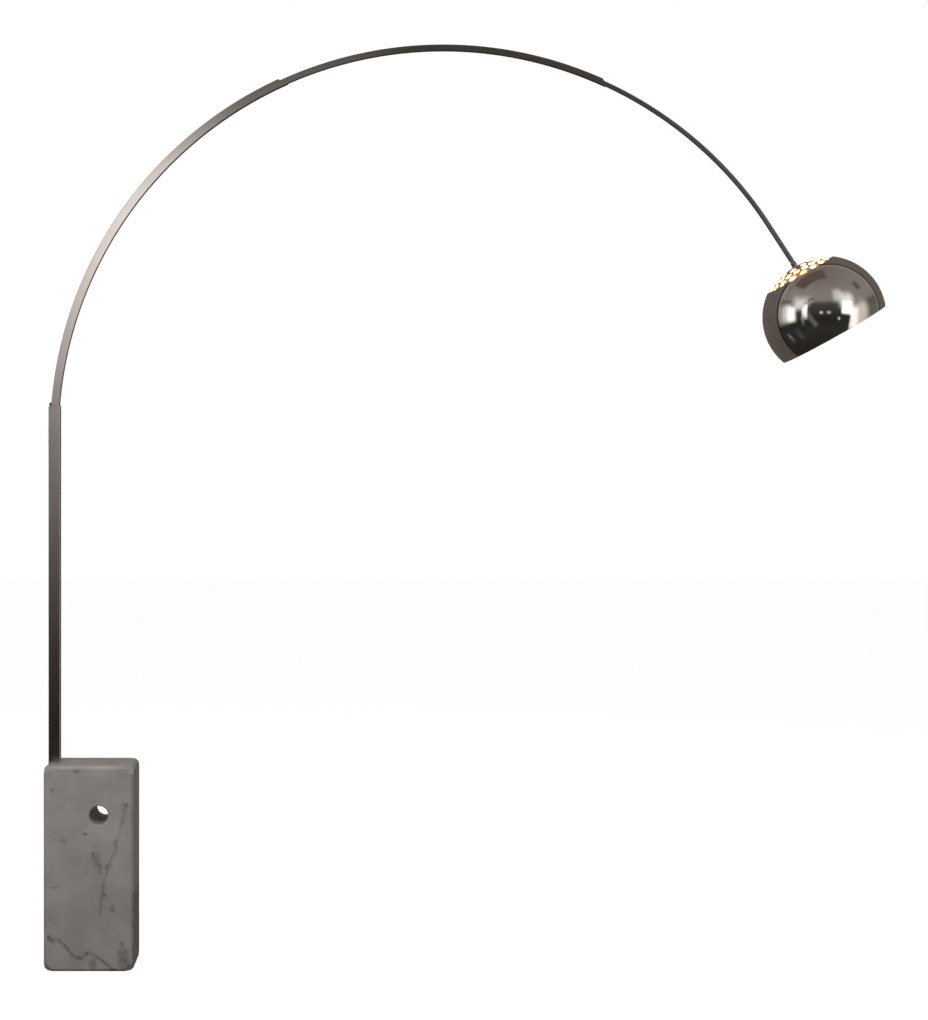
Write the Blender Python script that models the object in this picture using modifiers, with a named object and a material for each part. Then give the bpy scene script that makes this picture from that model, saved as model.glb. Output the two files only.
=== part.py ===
"""Arc floor lamp: a marble block, a steel stem, a three-part telescoping arc and a domed reflector.

The origin is at the middle of the block's underside. +Z is up and +X runs from the block to the reflector.
The arc lies in the XZ plane, and all three sections share one centre, so each slides inside the next.
"""

import math

import bmesh
import bpy
from mathutils import Matrix, Vector

# Block
BLOCK_WIDTH = 0.240
BLOCK_DEPTH = 0.190
BLOCK_HEIGHT = 0.550
BLOCK_EDGE_CUT = 0.0075
BLOCK_CORNER_CUT = 0.029
LIFT_HOLE_RADIUS = 0.025
LIFT_HOLE_X = 0.028
LIFT_HOLE_Z = 0.418
LIFT_HOLE_RIM = 0.0025

# Stem
STEM_X = -0.10175
STEM_WIDTH = 0.0315
STEM_DEPTH = 0.026
STEM_WALL = 0.0015
STEM_TOP = 1.519
STEM_TOP_CUT = 0.004
SLOT_BOTTOM = 0.250
BOLT_HEIGHTS = (("upper", 0.505), ("lower", 0.345))
ARC_SCREW_HEIGHTS = (("upper", 1.449), ("lower", 1.423))
INLET_HEIGHT = 0.285
TERMINAL_BOTTOM = 0.310
TERMINAL_TOP = 0.330

# Arc
ARC_CENTRE = Vector((0.9552, 0.0, 1.4359))
ARC_STEP = 2.0
SHEET = 0.0012
LIP_THICKNESS = 0.0010
LIP_REACH = 0.0030
CHANNEL_CORNER = 0.0008
SECTION_1 = {"inner": 1.0471, "outer": 1.0691, "width": 0.0200, "tail": 184.0, "mouth": 114.3}
SECTION_2 = {"inner": 1.0486, "outer": 1.0646, "width": 0.0166, "tail": 124.0, "mouth": 65.5}
SECTION_3 = {"inner": 1.0501, "outer": 1.0608, "width": 0.0132, "tail": 73.0, "mouth": 33.0}
STRAIGHT_END = 0.118
CABLE_ARC_RADIUS = 1.0555

# Head, as distances from the centre of the reflector's sphere
HEAD_TILT = math.radians(30.0)
FITTING_TOP = 0.172
CAP_RADIUS = 0.1562
CAP_SHEET = 0.0012
CAP_EDGE = 62.0
REFLECTOR_RADIUS = 0.1634
REFLECTOR_SHEET = 0.0013
REFLECTOR_NECK = 37.5
REFLECTOR_RIM = 110.3
NECK_LIP_RADIUS = 0.1587
# Each ring of holes: degrees from the axis, hole radius, number of holes and the first one's bearing
HOLE_RINGS = ((31.8, 0.0105, 16, 15.7), (23.6, 0.0098, 16, 4.45), (15.2, 0.0092, 8, 15.7))
HOLE_SIDES = 12

# Shared
GAP = 0.0003
CABLE_RADIUS = 0.0026
BOLT_RADIUS = 0.004
SCREW_RADIUS = 0.0025
LOCK_SCREW_RADII = (0.0025, 0.0020)
NIPPLE_RADIUS = 0.005

FINISHES = {
    "marble": ((0.46, 0.44, 0.42), 0.35, 0.0),
    "satin_steel": ((0.52, 0.50, 0.47), 0.30, 1.0),
    "zinc_steel": ((0.60, 0.60, 0.58), 0.38, 1.0),
    "polished_aluminium": ((0.62, 0.60, 0.58), 0.10, 1.0),
    "brass": ((0.72, 0.55, 0.26), 0.30, 1.0),
    "nylon": ((0.70, 0.68, 0.62), 0.55, 0.0),
    "black_plastic": ((0.03, 0.03, 0.03), 0.40, 0.0),
    "rubber": ((0.02, 0.02, 0.02), 0.80, 0.0),
    "cable": ((0.05, 0.05, 0.05), 0.60, 0.0),
    "porcelain": ((0.82, 0.80, 0.76), 0.25, 0.0),
    "opal_glass": ((0.95, 0.90, 0.80), 0.15, 0.0),
}


def clear_scene():
    for obj in list(bpy.data.objects):
        bpy.data.objects.remove(obj, do_unlink=True)


def new_collection(name):
    collection = bpy.data.collections.new(name)
    bpy.context.scene.collection.children.link(collection)
    return collection


clear_scene()
PARTS = new_collection("arc_floor_lamp")
CUTTERS = new_collection("cutters")


def add_frame(name, location, tilt=0.0):
    """An empty that carries pieces and stands on their joint's axis. tilt turns it about Y."""
    frame = bpy.data.objects.new(name, None)
    frame.location = location
    frame.rotation_euler = (0.0, tilt, 0.0)
    PARTS.objects.link(frame)
    return frame


def set_finish(obj, kind):
    colour, roughness, metallic = FINISHES[kind]
    material = bpy.data.materials.new(f"{obj.name}_{kind}")
    material.use_nodes = True
    shader = material.node_tree.nodes["Principled BSDF"]
    shader.inputs["Base Color"].default_value = (*colour, 1.0)
    shader.inputs["Roughness"].default_value = roughness
    shader.inputs["Metallic"].default_value = metallic
    obj.data.materials.append(material)


def finish_mesh(name, bm, kind, parent=None):
    """Makes an object from a bmesh: a part with its finish, or a cutter where kind is None."""
    bmesh.ops.recalc_face_normals(bm, faces=bm.faces[:])
    mesh = bpy.data.meshes.new(name)
    bm.to_mesh(mesh)
    bm.free()
    obj = bpy.data.objects.new(name, mesh)
    obj.parent = parent
    if kind is None:
        CUTTERS.objects.link(obj)
        obj.hide_render = True
        obj.display_type = "WIRE"
    else:
        PARTS.objects.link(obj)
        set_finish(obj, kind)
    return obj


def add_box(name, low, high, kind, parent=None, edge=0.0):
    """A box between two corners, its edges rounded off by edge."""
    low = Vector(low)
    high = Vector(high)
    bm = bmesh.new()
    place = Matrix.Translation((low + high) / 2) @ Matrix.Diagonal((*(high - low), 1.0))
    bmesh.ops.create_cube(bm, size=1.0, matrix=place)
    obj = finish_mesh(name, bm, kind, parent)
    if edge:
        bevel = obj.modifiers.new("edges", "BEVEL")
        bevel.width = edge
        bevel.segments = 2
        bevel.limit_method = "ANGLE"
    return obj


def add_turned(name, profile, kind, parent=None, steps=24, location=(0, 0, 0), rotation=(0, 0, 0)):
    """A solid of revolution about its own Z. The profile, (radius, height), runs down its outer side.

    A profile that starts and ends off the axis is closed into a ring.
    """
    bm = bmesh.new()
    points = [bm.verts.new((radius, 0.0, height)) for radius, height in profile]
    for first, second in zip(points, points[1:]):
        bm.edges.new((first, second))
    if profile[0][0] > 0:
        bm.edges.new((points[-1], points[0]))
    mesh = bpy.data.meshes.new(name)
    bm.to_mesh(mesh)
    bm.free()
    obj = bpy.data.objects.new(name, mesh)
    obj.parent = parent
    obj.location = location
    obj.rotation_euler = rotation
    screw = obj.modifiers.new("turned", "SCREW")
    screw.axis = "Z"
    screw.angle = 2 * math.pi
    screw.steps = steps
    screw.render_steps = steps
    screw.use_merge_vertices = True
    screw.merge_threshold = 0.00002
    if kind is None:
        CUTTERS.objects.link(obj)
        obj.hide_render = True
        obj.display_type = "WIRE"
    else:
        PARTS.objects.link(obj)
        screw.use_smooth_shade = steps > 6
        set_finish(obj, kind)
    return obj


def add_pin_cutter(name, radius, start, end, parent=None, sides=16):
    """A round cutter between two points."""
    start = Vector(start)
    end = Vector(end)
    turn = (end - start).to_track_quat("Z", "Y").to_matrix().to_4x4()
    bm = bmesh.new()
    place = Matrix.Translation((start + end) / 2) @ turn
    bmesh.ops.create_cone(
        bm, cap_ends=True, segments=sides, radius1=radius, radius2=radius,
        depth=(end - start).length, matrix=place,
    )
    return finish_mesh(name, bm, None, parent)


def combine(obj, other, operation="DIFFERENCE"):
    boolean = obj.modifiers.new(other.name, "BOOLEAN")
    boolean.operation = operation
    boolean.solver = "EXACT"
    boolean.object = other


def cut_away(bm, point, normal):
    """Removes what lies on the normal's side of a plane and closes the cut."""
    whole = bm.verts[:] + bm.edges[:] + bm.faces[:]
    cut = bmesh.ops.bisect_plane(bm, geom=whole, plane_co=point, plane_no=normal, clear_outer=True)
    edges = [item for item in cut["geom_cut"] if isinstance(item, bmesh.types.BMEdge)]
    bmesh.ops.edgeloop_fill(bm, edges=edges)


def add_cable(name, points, parent=None):
    curve = bpy.data.curves.new(name, "CURVE")
    curve.dimensions = "3D"
    curve.bevel_depth = CABLE_RADIUS
    curve.bevel_resolution = 2
    curve.use_fill_caps = True
    spline = curve.splines.new("POLY")
    spline.points.add(len(points) - 1)
    for slot, point in zip(spline.points, points):
        slot.co = (*point, 1.0)
    obj = bpy.data.objects.new(name, curve)
    obj.parent = parent
    PARTS.objects.link(obj)
    set_finish(obj, "cable")
    return obj


def on_arc(radius, degrees):
    """A point of the arc, seen from the arc's centre. 0 degrees is towards +X and 90 is up."""
    angle = math.radians(degrees)
    return Vector((radius * math.cos(angle), 0.0, radius * math.sin(angle)))


def along_arc(degrees):
    """The direction in which the arc runs on towards the reflector."""
    angle = math.radians(degrees)
    return Vector((math.sin(angle), 0.0, -math.cos(angle)))


def channel_outline(section):
    """(radius, across) points of a lipped channel that is open towards the arc's centre."""
    inner = section["inner"]
    outer = section["outer"]
    half = section["width"] / 2
    slot = half - SHEET - LIP_REACH
    right = [
        (outer, half - CHANNEL_CORNER),
        (outer - CHANNEL_CORNER, half),
        (inner, half),
        (inner, slot),
        (inner + LIP_THICKNESS, slot),
        (inner + LIP_THICKNESS, half - SHEET),
        (outer - SHEET, half - SHEET),
    ]
    return right + [(radius, -across) for radius, across in reversed(right)]


def swept(outline, start, end, straight=0.0):
    """A bmesh of an outline carried along the arc from start to end degrees, then straight on."""
    bm = bmesh.new()
    corners = []
    for radius, across in outline:
        point = on_arc(radius, start)
        corners.append(bm.verts.new((point.x, across, point.z)))
    face = bm.faces.new(corners)
    steps = max(1, round(abs(start - end) / ARC_STEP))
    turned = bmesh.ops.spin(
        bm, geom=[face], cent=(0, 0, 0), axis=(0, 1, 0), dvec=(0, 0, 0),
        angle=math.radians(start - end), steps=steps, use_duplicate=False,
    )
    if straight:
        last = [item for item in turned["geom_last"] if isinstance(item, bmesh.types.BMFace)]
        grown = bmesh.ops.extrude_face_region(bm, geom=last)
        moved = [item for item in grown["geom"] if isinstance(item, bmesh.types.BMVert)]
        bmesh.ops.translate(bm, verts=moved, vec=along_arc(end) * straight)
        bmesh.ops.delete(bm, geom=last, context="FACES_ONLY")
    return bm


def add_section(name, section, parent, straight=0.0):
    """One channel of the arc. Its mouth is cut at 45 degrees, unless it ends in a straight stretch."""
    end = section["mouth"] if straight else section["mouth"] - 2 * ARC_STEP
    steps = math.floor((section["tail"] - end) / ARC_STEP)
    bm = swept(channel_outline(section), section["tail"], section["tail"] - steps * ARC_STEP, straight)
    if not straight:
        middle = on_arc((section["inner"] + section["outer"]) / 2, section["mouth"])
        normal = along_arc(section["mouth"]) + middle.normalized()
        cut_away(bm, middle, normal)
    return finish_mesh(name, bm, "satin_steel", parent)


def add_arc_block(name, inner, outer, width, start, end, kind, parent):
    """A flat pad or plate that follows the arc."""
    half = width / 2
    outline = [(outer, half), (inner, half), (inner, -half), (outer, -half)]
    return finish_mesh(name, swept(outline, start, end), kind, parent)


def make_block():
    bm = bmesh.new()
    place = Matrix.Translation((0, 0, BLOCK_HEIGHT / 2))
    place = place @ Matrix.Diagonal((BLOCK_WIDTH, BLOCK_DEPTH, BLOCK_HEIGHT, 1.0))
    bmesh.ops.create_cube(bm, size=1.0, matrix=place)
    bmesh.ops.bevel(bm, geom=bm.edges[:], offset=BLOCK_EDGE_CUT, segments=1, affect="EDGES")
    for side in (-1, 1):
        for face in (-1, 1):
            for end in (-1, 1):
                x = side * (BLOCK_WIDTH / 2 - BLOCK_CORNER_CUT)
                y = face * BLOCK_DEPTH / 2
                z = BLOCK_HEIGHT if end > 0 else 0.0
                cut_away(bm, Vector((x, y, z)), Vector((side, face, end)).normalized())
    block = finish_mesh("marble_base", bm, "marble")

    reach = BLOCK_DEPTH / 2 + 0.002
    flare = LIFT_HOLE_RADIUS + LIFT_HOLE_RIM + 0.002
    straight = BLOCK_DEPTH / 2 - LIFT_HOLE_RIM
    profile = [(0, reach), (flare, reach), (LIFT_HOLE_RADIUS, straight)]
    profile += [(LIFT_HOLE_RADIUS, -straight), (flare, -reach), (0, -reach)]
    combine(block, add_turned(
        "lift_hole_cutter", profile, None, steps=40,
        location=(LIFT_HOLE_X, 0, LIFT_HOLE_Z), rotation=(math.pi / 2, 0, 0),
    ))

    slot_side = STEM_X + STEM_WIDTH / 2 + GAP
    half = STEM_DEPTH / 2 + GAP
    low = (-BLOCK_WIDTH, -half, SLOT_BOTTOM)
    high = (slot_side, half, BLOCK_HEIGHT + 0.1)
    combine(block, add_box("slot_cutter", low, high, None))
    return block


def make_stem():
    left = STEM_X - STEM_WIDTH / 2
    right = STEM_X + STEM_WIDTH / 2
    half = STEM_DEPTH / 2
    foot = SLOT_BOTTOM + GAP
    bm = bmesh.new()
    middle = Vector((STEM_X, 0, (foot + STEM_TOP) / 2))
    size = (STEM_WIDTH, STEM_DEPTH, STEM_TOP - foot, 1.0)
    bmesh.ops.create_cube(bm, size=1.0, matrix=Matrix.Translation(middle) @ Matrix.Diagonal(size))
    upright = [e for e in bm.edges if abs(e.verts[0].co.z - e.verts[1].co.z) > STEM_WIDTH]
    bmesh.ops.bevel(bm, geom=upright, offset=0.0012, segments=2, affect="EDGES", profile=0.5)
    cut_away(bm, Vector((left + STEM_TOP_CUT, 0, STEM_TOP)), Vector((-1, 0, 1)).normalized())
    stem = finish_mesh("stem_tube", bm, "satin_steel")

    inside_low = (left + STEM_WALL, -half + STEM_WALL, foot - 0.01)
    inside_high = (right - STEM_WALL, half - STEM_WALL, STEM_TOP + 0.01)
    combine(stem, add_box("stem_bore_cutter", inside_low, inside_high, None))

    plug_low = (left + STEM_WALL + GAP, -half + STEM_WALL + GAP, foot)
    plug_high = (right - STEM_WALL - GAP, half - STEM_WALL - GAP, foot + 0.010)
    add_box("stem_foot_plug", plug_low, plug_high, "black_plastic")
    return stem


def fasten_stem(block, stem):
    """Two button-head bolts go through the stem into threaded sleeves set in the marble."""
    left = STEM_X - STEM_WIDTH / 2
    slot_side = STEM_X + STEM_WIDTH / 2 + GAP
    sleeve_radius = 0.007
    sleeve_length = 0.030
    head_radius = 0.007
    head_height = 0.0020
    head_bottom = left - GAP
    tip = slot_side + 0.024
    turn = (0, math.pi / 2, 0)
    for name, z in BOLT_HEIGHTS:
        hole = add_pin_cutter(
            f"bolt_hole_{name}", BOLT_RADIUS + GAP, (left - 0.01, 0, z), (slot_side, 0, z))
        combine(stem, hole)
        end = slot_side + sleeve_length + GAP
        pocket = add_pin_cutter(
            f"sleeve_pocket_{name}", sleeve_radius + GAP, (slot_side - 0.01, 0, z), (end, 0, z))
        combine(block, pocket)
        bore = BOLT_RADIUS + GAP
        profile = [(bore, sleeve_length), (sleeve_radius, sleeve_length), (sleeve_radius, 0), (bore, 0)]
        add_turned(
            f"marble_sleeve_{name}", profile, "brass", steps=12,
            location=(slot_side, 0, z), rotation=turn)
        length = tip - head_bottom
        socket = 0.0022
        profile = [(0, length), (BOLT_RADIUS, length), (BOLT_RADIUS, 0), (head_radius, 0)]
        profile += [(head_radius * 0.72, -head_height), (socket, -head_height), (socket, -0.0006)]
        profile += [(0, -0.0006)]
        add_turned(
            f"stem_bolt_{name}", profile, "zinc_steel", steps=16,
            location=(head_bottom, 0, z), rotation=turn)


def make_cable_inlet(stem):
    """A rubber grommet in the stem's side, and the block in which the supply cable ends."""
    left = STEM_X - STEM_WIDTH / 2
    z = INLET_HEIGHT
    hole = 0.0060
    flange = 0.0080
    bore = 0.0034
    combine(stem, add_pin_cutter("inlet_hole", hole, (left - 0.01, 0, z), (left + 0.004, 0, z)))
    outside = -0.0015
    wall = STEM_WALL + GAP
    inside = wall + 0.0015
    neck = hole - GAP
    profile = [(bore, inside), (flange, inside), (flange, wall), (neck, wall), (neck, -GAP)]
    profile += [(flange, -GAP), (flange - 0.001, outside), (bore, outside)]
    add_turned(
        "cable_grommet", profile, "rubber", steps=16,
        location=(left, 0, z), rotation=(0, math.pi / 2, 0))
    low = (STEM_X - 0.009, -0.0095, TERMINAL_BOTTOM)
    high = (STEM_X + 0.010, 0.0110, TERMINAL_TOP)
    add_box("terminal_block", low, high, "nylon", edge=0.001)


def make_stem_cable():
    """The supply cable inside the stem, past the bolts and up into the arc's first channel."""
    bottom = TERMINAL_TOP + GAP
    beside = 0.0075
    shift_start = 1.20
    tail = SECTION_1["tail"]
    top = ARC_CENTRE + on_arc(CABLE_ARC_RADIUS, tail) - along_arc(tail) * 2 * GAP
    entry = top - along_arc(tail) * 0.012
    points = [Vector((STEM_X, beside, bottom)), Vector((STEM_X, beside, shift_start))]
    bends = 6
    for i in range(1, bends + 1):
        share = i / bends
        ease = share * share * (3 - 2 * share)
        z = shift_start + (entry.z - shift_start) * share
        points.append(Vector((STEM_X + (entry.x - STEM_X) * ease, beside * (1 - ease), z)))
    points.append(top)
    add_cable("supply_cable_stem", points)


def arc_cable(name, start, end, parent, extra=()):
    steps = math.ceil((start - end) / ARC_STEP)
    points = [on_arc(CABLE_ARC_RADIUS, start + (end - start) * i / steps) for i in range(steps + 1)]
    add_cable(name, points + list(extra), parent)


def make_arc_foot(stem, section, arc):
    """Holds the first channel in the stem: a wedge at the top, and two screws into a nut plate."""
    wall = STEM_X - STEM_WIDTH / 2 + STEM_WALL
    half = 0.008
    bm = bmesh.new()
    bottom = 1.487
    top = 1.527
    lean = {}
    for z in (bottom, top):
        rise = z - ARC_CENTRE.z
        lean[z] = ARC_CENTRE.x - math.sqrt(SECTION_1["outer"] ** 2 - rise ** 2)
    bmesh.ops.create_cube(bm, size=1.0)
    for corner in bm.verts:
        z = top if corner.co.z > 0 else bottom
        x = lean[z] - 2 * GAP if corner.co.x > 0 else wall + GAP
        corner.co = Vector((x, math.copysign(half, corner.co.y), z))
    finish_mesh("arc_wedge", bm, "black_plastic")

    web = ARC_CENTRE.x - SECTION_1["outer"]
    low_z = 1.4120
    high_z = 1.4600
    spacer = add_box("arc_spacer", (wall + GAP, -half, low_z), (web - GAP, half, high_z), "zinc_steel")
    plate_left = web + SHEET + 2 * GAP
    plate = add_box(
        "arc_nut_plate", (plate_left, -0.007, low_z), (plate_left + 0.003, 0.007, high_z), "zinc_steel")
    left = wall - STEM_WALL
    tip = plate_left + 0.004
    for name, z in ARC_SCREW_HEIGHTS:
        hole = add_pin_cutter(
            f"arc_screw_hole_{name}", SCREW_RADIUS + GAP, (left - 0.01, 0, z), (tip + 0.01, 0, z),
            sides=12)
        for piece in (stem, spacer, plate):
            combine(piece, hole)
        from_centre = Vector((left - 0.01, 0, z)) - ARC_CENTRE
        to_centre = Vector((tip + 0.01, 0, z)) - ARC_CENTRE
        combine(section, add_pin_cutter(
            f"channel_hole_{name}", SCREW_RADIUS + GAP, from_centre, to_centre, arc, sides=12))
        length = tip - left + GAP
        profile = [(0, length), (SCREW_RADIUS, length), (SCREW_RADIUS, 0), (0.0045, 0)]
        profile += [(0.0036, -0.0016), (0.0015, -0.0016), (0.0015, -0.0004), (0, -0.0004)]
        add_turned(
            f"arc_screw_{name}", profile, "zinc_steel", steps=12,
            location=(left - GAP, 0, z), rotation=(0, math.pi / 2, 0))


def make_clamp(number, channel, outside, inside, arc):
    """A threaded plate inside a channel's mouth, with the set screw that presses on the next section."""
    radius = LOCK_SCREW_RADII[number - 1]
    start = math.ceil(outside["mouth"] / ARC_STEP) * ARC_STEP + ARC_STEP
    end = start - ARC_STEP
    middle = (start + end) / 2
    under = outside["outer"] - SHEET - GAP
    over = inside["outer"] + 0.0004
    width = outside["width"] - 2 * SHEET - 0.002
    plate = add_arc_block(f"clamp_plate_{number}", over, under, width, start, end, "zinc_steel", arc)
    low = on_arc(over - 0.002, middle)
    high = on_arc(outside["outer"] + 0.004, middle)
    hole = add_pin_cutter(f"clamp_hole_{number}", radius + GAP, low, high, arc, sides=12)
    combine(plate, hole)
    combine(channel, hole)
    facet = math.cos(math.radians(ARC_STEP / 2))
    top = outside["outer"] * facet
    bottom = inside["outer"] + GAP
    length = top - bottom
    profile = [(0, length - 0.0015), (radius * 0.5, length - 0.0015), (radius * 0.5, length)]
    profile += [(radius * 0.9, length), (radius, length - 0.0003), (radius, 0.0004)]
    profile += [(radius * 0.8, 0), (0, 0)]
    add_turned(
        f"lock_screw_{number}", profile, "zinc_steel", arc, steps=12,
        location=on_arc(bottom, middle), rotation=(0, math.radians(90 - middle), 0))


def make_slide_pad(number, section, outside, arc):
    """A nylon pad on the channel's back, at its tail, that slides along the channel around it."""
    inner = section["outer"] + GAP
    outer = outside["outer"] - SHEET - 0.0005
    width = section["width"] - 0.002
    start = section["tail"]
    add_arc_block(f"slide_pad_{number}", inner, outer, width, start, start - ARC_STEP, "nylon", arc)


def arm_end():
    """Where the straight end of the third channel stops, seen from the arc's centre."""
    middle = (SECTION_3["inner"] + SECTION_3["outer"]) / 2
    mouth = SECTION_3["mouth"]
    return on_arc(middle, mouth) + along_arc(mouth) * STRAIGHT_END


def head_centre():
    """The centre of the reflector's sphere. The head hangs from a point just past the channel's end."""
    kink = ARC_CENTRE + arm_end() + along_arc(SECTION_3["mouth"]) * 0.001
    down = Vector((math.sin(HEAD_TILT), 0, -math.cos(HEAD_TILT)))
    return kink + down * FITTING_TOP


def make_arm_end(arc, head):
    """The fitting that plugs into the third channel and takes the head's threaded tube."""
    collar = [(0, FITTING_TOP - 0.001), (0.0062, FITTING_TOP - 0.001), (0.0075, FITTING_TOP - 0.003)]
    collar += [(0.0075, CAP_RADIUS + 0.0015), (0, CAP_RADIUS + 0.0015)]
    fitting = add_turned("arm_end_fitting", collar, "satin_steel", head, steps=20)

    forward = along_arc(SECTION_3["mouth"])
    end = arm_end()
    depth = 0.024
    thick = SECTION_3["outer"] - SECTION_3["inner"] - SHEET - LIP_THICKNESS - 2 * GAP
    width = SECTION_3["width"] - 2 * SHEET - 2 * GAP
    hollow = (SECTION_3["outer"] - SHEET + SECTION_3["inner"] + LIP_THICKNESS) / 2
    shift = hollow - (SECTION_3["outer"] + SECTION_3["inner"]) / 2
    outward = on_arc(1.0, SECTION_3["mouth"])
    length = depth + 0.0045
    bm = bmesh.new()
    size = Matrix.Diagonal((thick, width, length, 1.0))
    turn = Matrix.Rotation(math.radians(90 - SECTION_3["mouth"]) - math.pi / 2, 4, "Y")
    middle = end + outward * shift + forward * (length / 2 - depth)
    bmesh.ops.create_cube(bm, size=1.0, matrix=Matrix.Translation(middle) @ turn @ size)
    spigot = finish_mesh("spigot_joiner", bm, None, arc)
    combine(fitting, spigot, "UNION")

    bore = add_turned(
        "nipple_bore_cutter",
        [(0, FITTING_TOP - 0.003), (NIPPLE_RADIUS + GAP, FITTING_TOP - 0.003),
         (NIPPLE_RADIUS + GAP, CAP_RADIUS - 0.01), (0, CAP_RADIUS - 0.01)],
        None, head, steps=20)
    combine(fitting, bore)
    passage = CABLE_RADIUS + 0.0004
    back = on_arc(CABLE_ARC_RADIUS, SECTION_3["mouth"]) + forward * (STRAIGHT_END - depth - 0.01)
    front = on_arc(CABLE_ARC_RADIUS, SECTION_3["mouth"]) + forward * (STRAIGHT_END + 0.006)
    combine(fitting, add_pin_cutter("cable_passage_cutter", passage, back, front, arc, sides=12))


def sphere_run(radius, start, end, steps):
    """Profile points on a sphere, by angle from the head's axis."""
    run = []
    for i in range(steps + 1):
        angle = math.radians(start + (end - start) * i / steps)
        run.append((radius * math.sin(angle), radius * math.cos(angle)))
    return run


def make_cap(head):
    """The perforated cap: rings of round holes, the second ring's set between those of the first."""
    hole = math.degrees(math.asin((NIPPLE_RADIUS + GAP) / CAP_RADIUS))
    profile = sphere_run(CAP_RADIUS, hole, CAP_EDGE, 6)
    profile += sphere_run(CAP_RADIUS - CAP_SHEET, CAP_EDGE, hole, 6)
    cap = add_turned("reflector_cap", profile, "polished_aluminium", head, steps=32)

    bm = bmesh.new()
    for from_axis, radius, count, first in HOLE_RINGS:
        down = math.radians(from_axis)
        for i in range(count):
            around = math.radians(first + 360 / count * i)
            flat = math.sin(down)
            out = Vector((flat * math.sin(around), -flat * math.cos(around), math.cos(down)))
            turn = out.to_track_quat("Z", "Y").to_matrix().to_4x4()
            place = Matrix.Translation(out * (CAP_RADIUS - CAP_SHEET / 2)) @ turn
            bmesh.ops.create_cone(
                bm, cap_ends=True, segments=HOLE_SIDES, radius1=radius, radius2=radius,
                depth=0.006, matrix=place,
            )
    combine(cap, finish_mesh("cap_hole_cutters", bm, None, head))


def make_reflector(tilting, spinning):
    """The bowl, whose turned-in neck rests through a nylon ring on the cap's sphere."""
    neck = math.radians(REFLECTOR_NECK)
    inner = REFLECTOR_RADIUS - REFLECTOR_SHEET
    lip_bottom = REFLECTOR_NECK + 0.5
    profile = sphere_run(REFLECTOR_RADIUS, REFLECTOR_NECK, REFLECTOR_RIM, 9)
    profile += sphere_run(inner, REFLECTOR_RIM, lip_bottom, 9)
    low = math.radians(lip_bottom)
    profile.append((NECK_LIP_RADIUS * math.sin(low), NECK_LIP_RADIUS * math.cos(low)))
    profile.append((NECK_LIP_RADIUS * math.sin(neck), NECK_LIP_RADIUS * math.cos(neck)))
    add_turned("reflector_bowl", profile, "polished_aluminium", spinning, steps=40)

    outer = NECK_LIP_RADIUS - GAP
    inner = CAP_RADIUS + 0.0006
    ring = sphere_run(outer, 36.9, 40.5, 1) + sphere_run(inner, 40.5, 36.9, 1)
    add_turned("reflector_seat_ring", ring, "nylon", tilting, steps=36)


def make_hanger(head):
    """What hangs the cap and the lampholder on the arm: a threaded tube, a washer and a nut."""
    bore = NIPPLE_RADIUS + GAP
    inner = 0.0035
    top = FITTING_TOP - 0.003 - GAP
    bottom = 0.134
    tube = [(inner, top), (NIPPLE_RADIUS, top), (NIPPLE_RADIUS, bottom), (inner, bottom)]
    add_turned("head_nipple", tube, "zinc_steel", head, steps=16)
    washer_bottom = CAP_RADIUS + GAP
    washer_top = washer_bottom + 0.0009
    washer = [(bore, washer_top), (0.0100, washer_top), (0.0100, washer_bottom), (bore, washer_bottom)]
    add_turned("swivel_washer", washer, "nylon", head, steps=16)
    nut_top = CAP_RADIUS - CAP_SHEET - 2 * GAP
    nut_bottom = nut_top - 0.004
    hexagon = 0.0081
    hexagonal = [(0, nut_top), (hexagon, nut_top), (hexagon, nut_bottom), (0, nut_bottom)]
    nut = add_turned("cap_lock_nut", hexagonal, "brass", head, steps=6)
    combine(nut, add_pin_cutter(
        "nut_bore_cutter", bore, (0, 0, nut_bottom - 0.01), (0, 0, nut_top + 0.01), head, sides=20))
    add_cable("supply_cable_head", [(0, 0, top - 0.0010), (0, 0, 0.126)], head)


def make_lampholder(head):
    bore = NIPPLE_RADIUS + GAP
    cover = [(bore, 0.146), (0.0085, 0.146), (0.0085, 0.140), (0.0150, 0.137), (0.0195, 0.131)]
    cover += [(0.0195, 0.108), (0.0170, 0.108), (0.0170, 0.130), (0.0135, 0.1335), (bore, 0.1335)]
    add_turned("lampholder_cover", cover, "black_plastic", head, steps=18)

    pin_hole = 0.0022
    bottom = 0.080
    body = [(pin_hole, 0.1077), (0.0195, 0.1077), (0.0195, 0.088), (0.0180, bottom), (0.0150, bottom)]
    body += [(0.0150, 0.1037), (pin_hole, 0.1037)]
    add_turned("lampholder_body", body, "porcelain", head, steps=18)

    sleeve = [(0.0141, 0.1030), (0.0147, 0.1030), (0.0147, 0.0840), (0.0141, 0.0840)]
    add_turned("lampholder_sleeve", sleeve, "brass", head, steps=18)

    contact = [(0, 0.1100), (0.0018, 0.1100), (0.0018, 0.1032), (0.0040, 0.1032)]
    contact += [(0.0040, 0.1024), (0, 0.1024)]
    add_turned("lampholder_contact", contact, "brass", head, steps=12)


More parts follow.
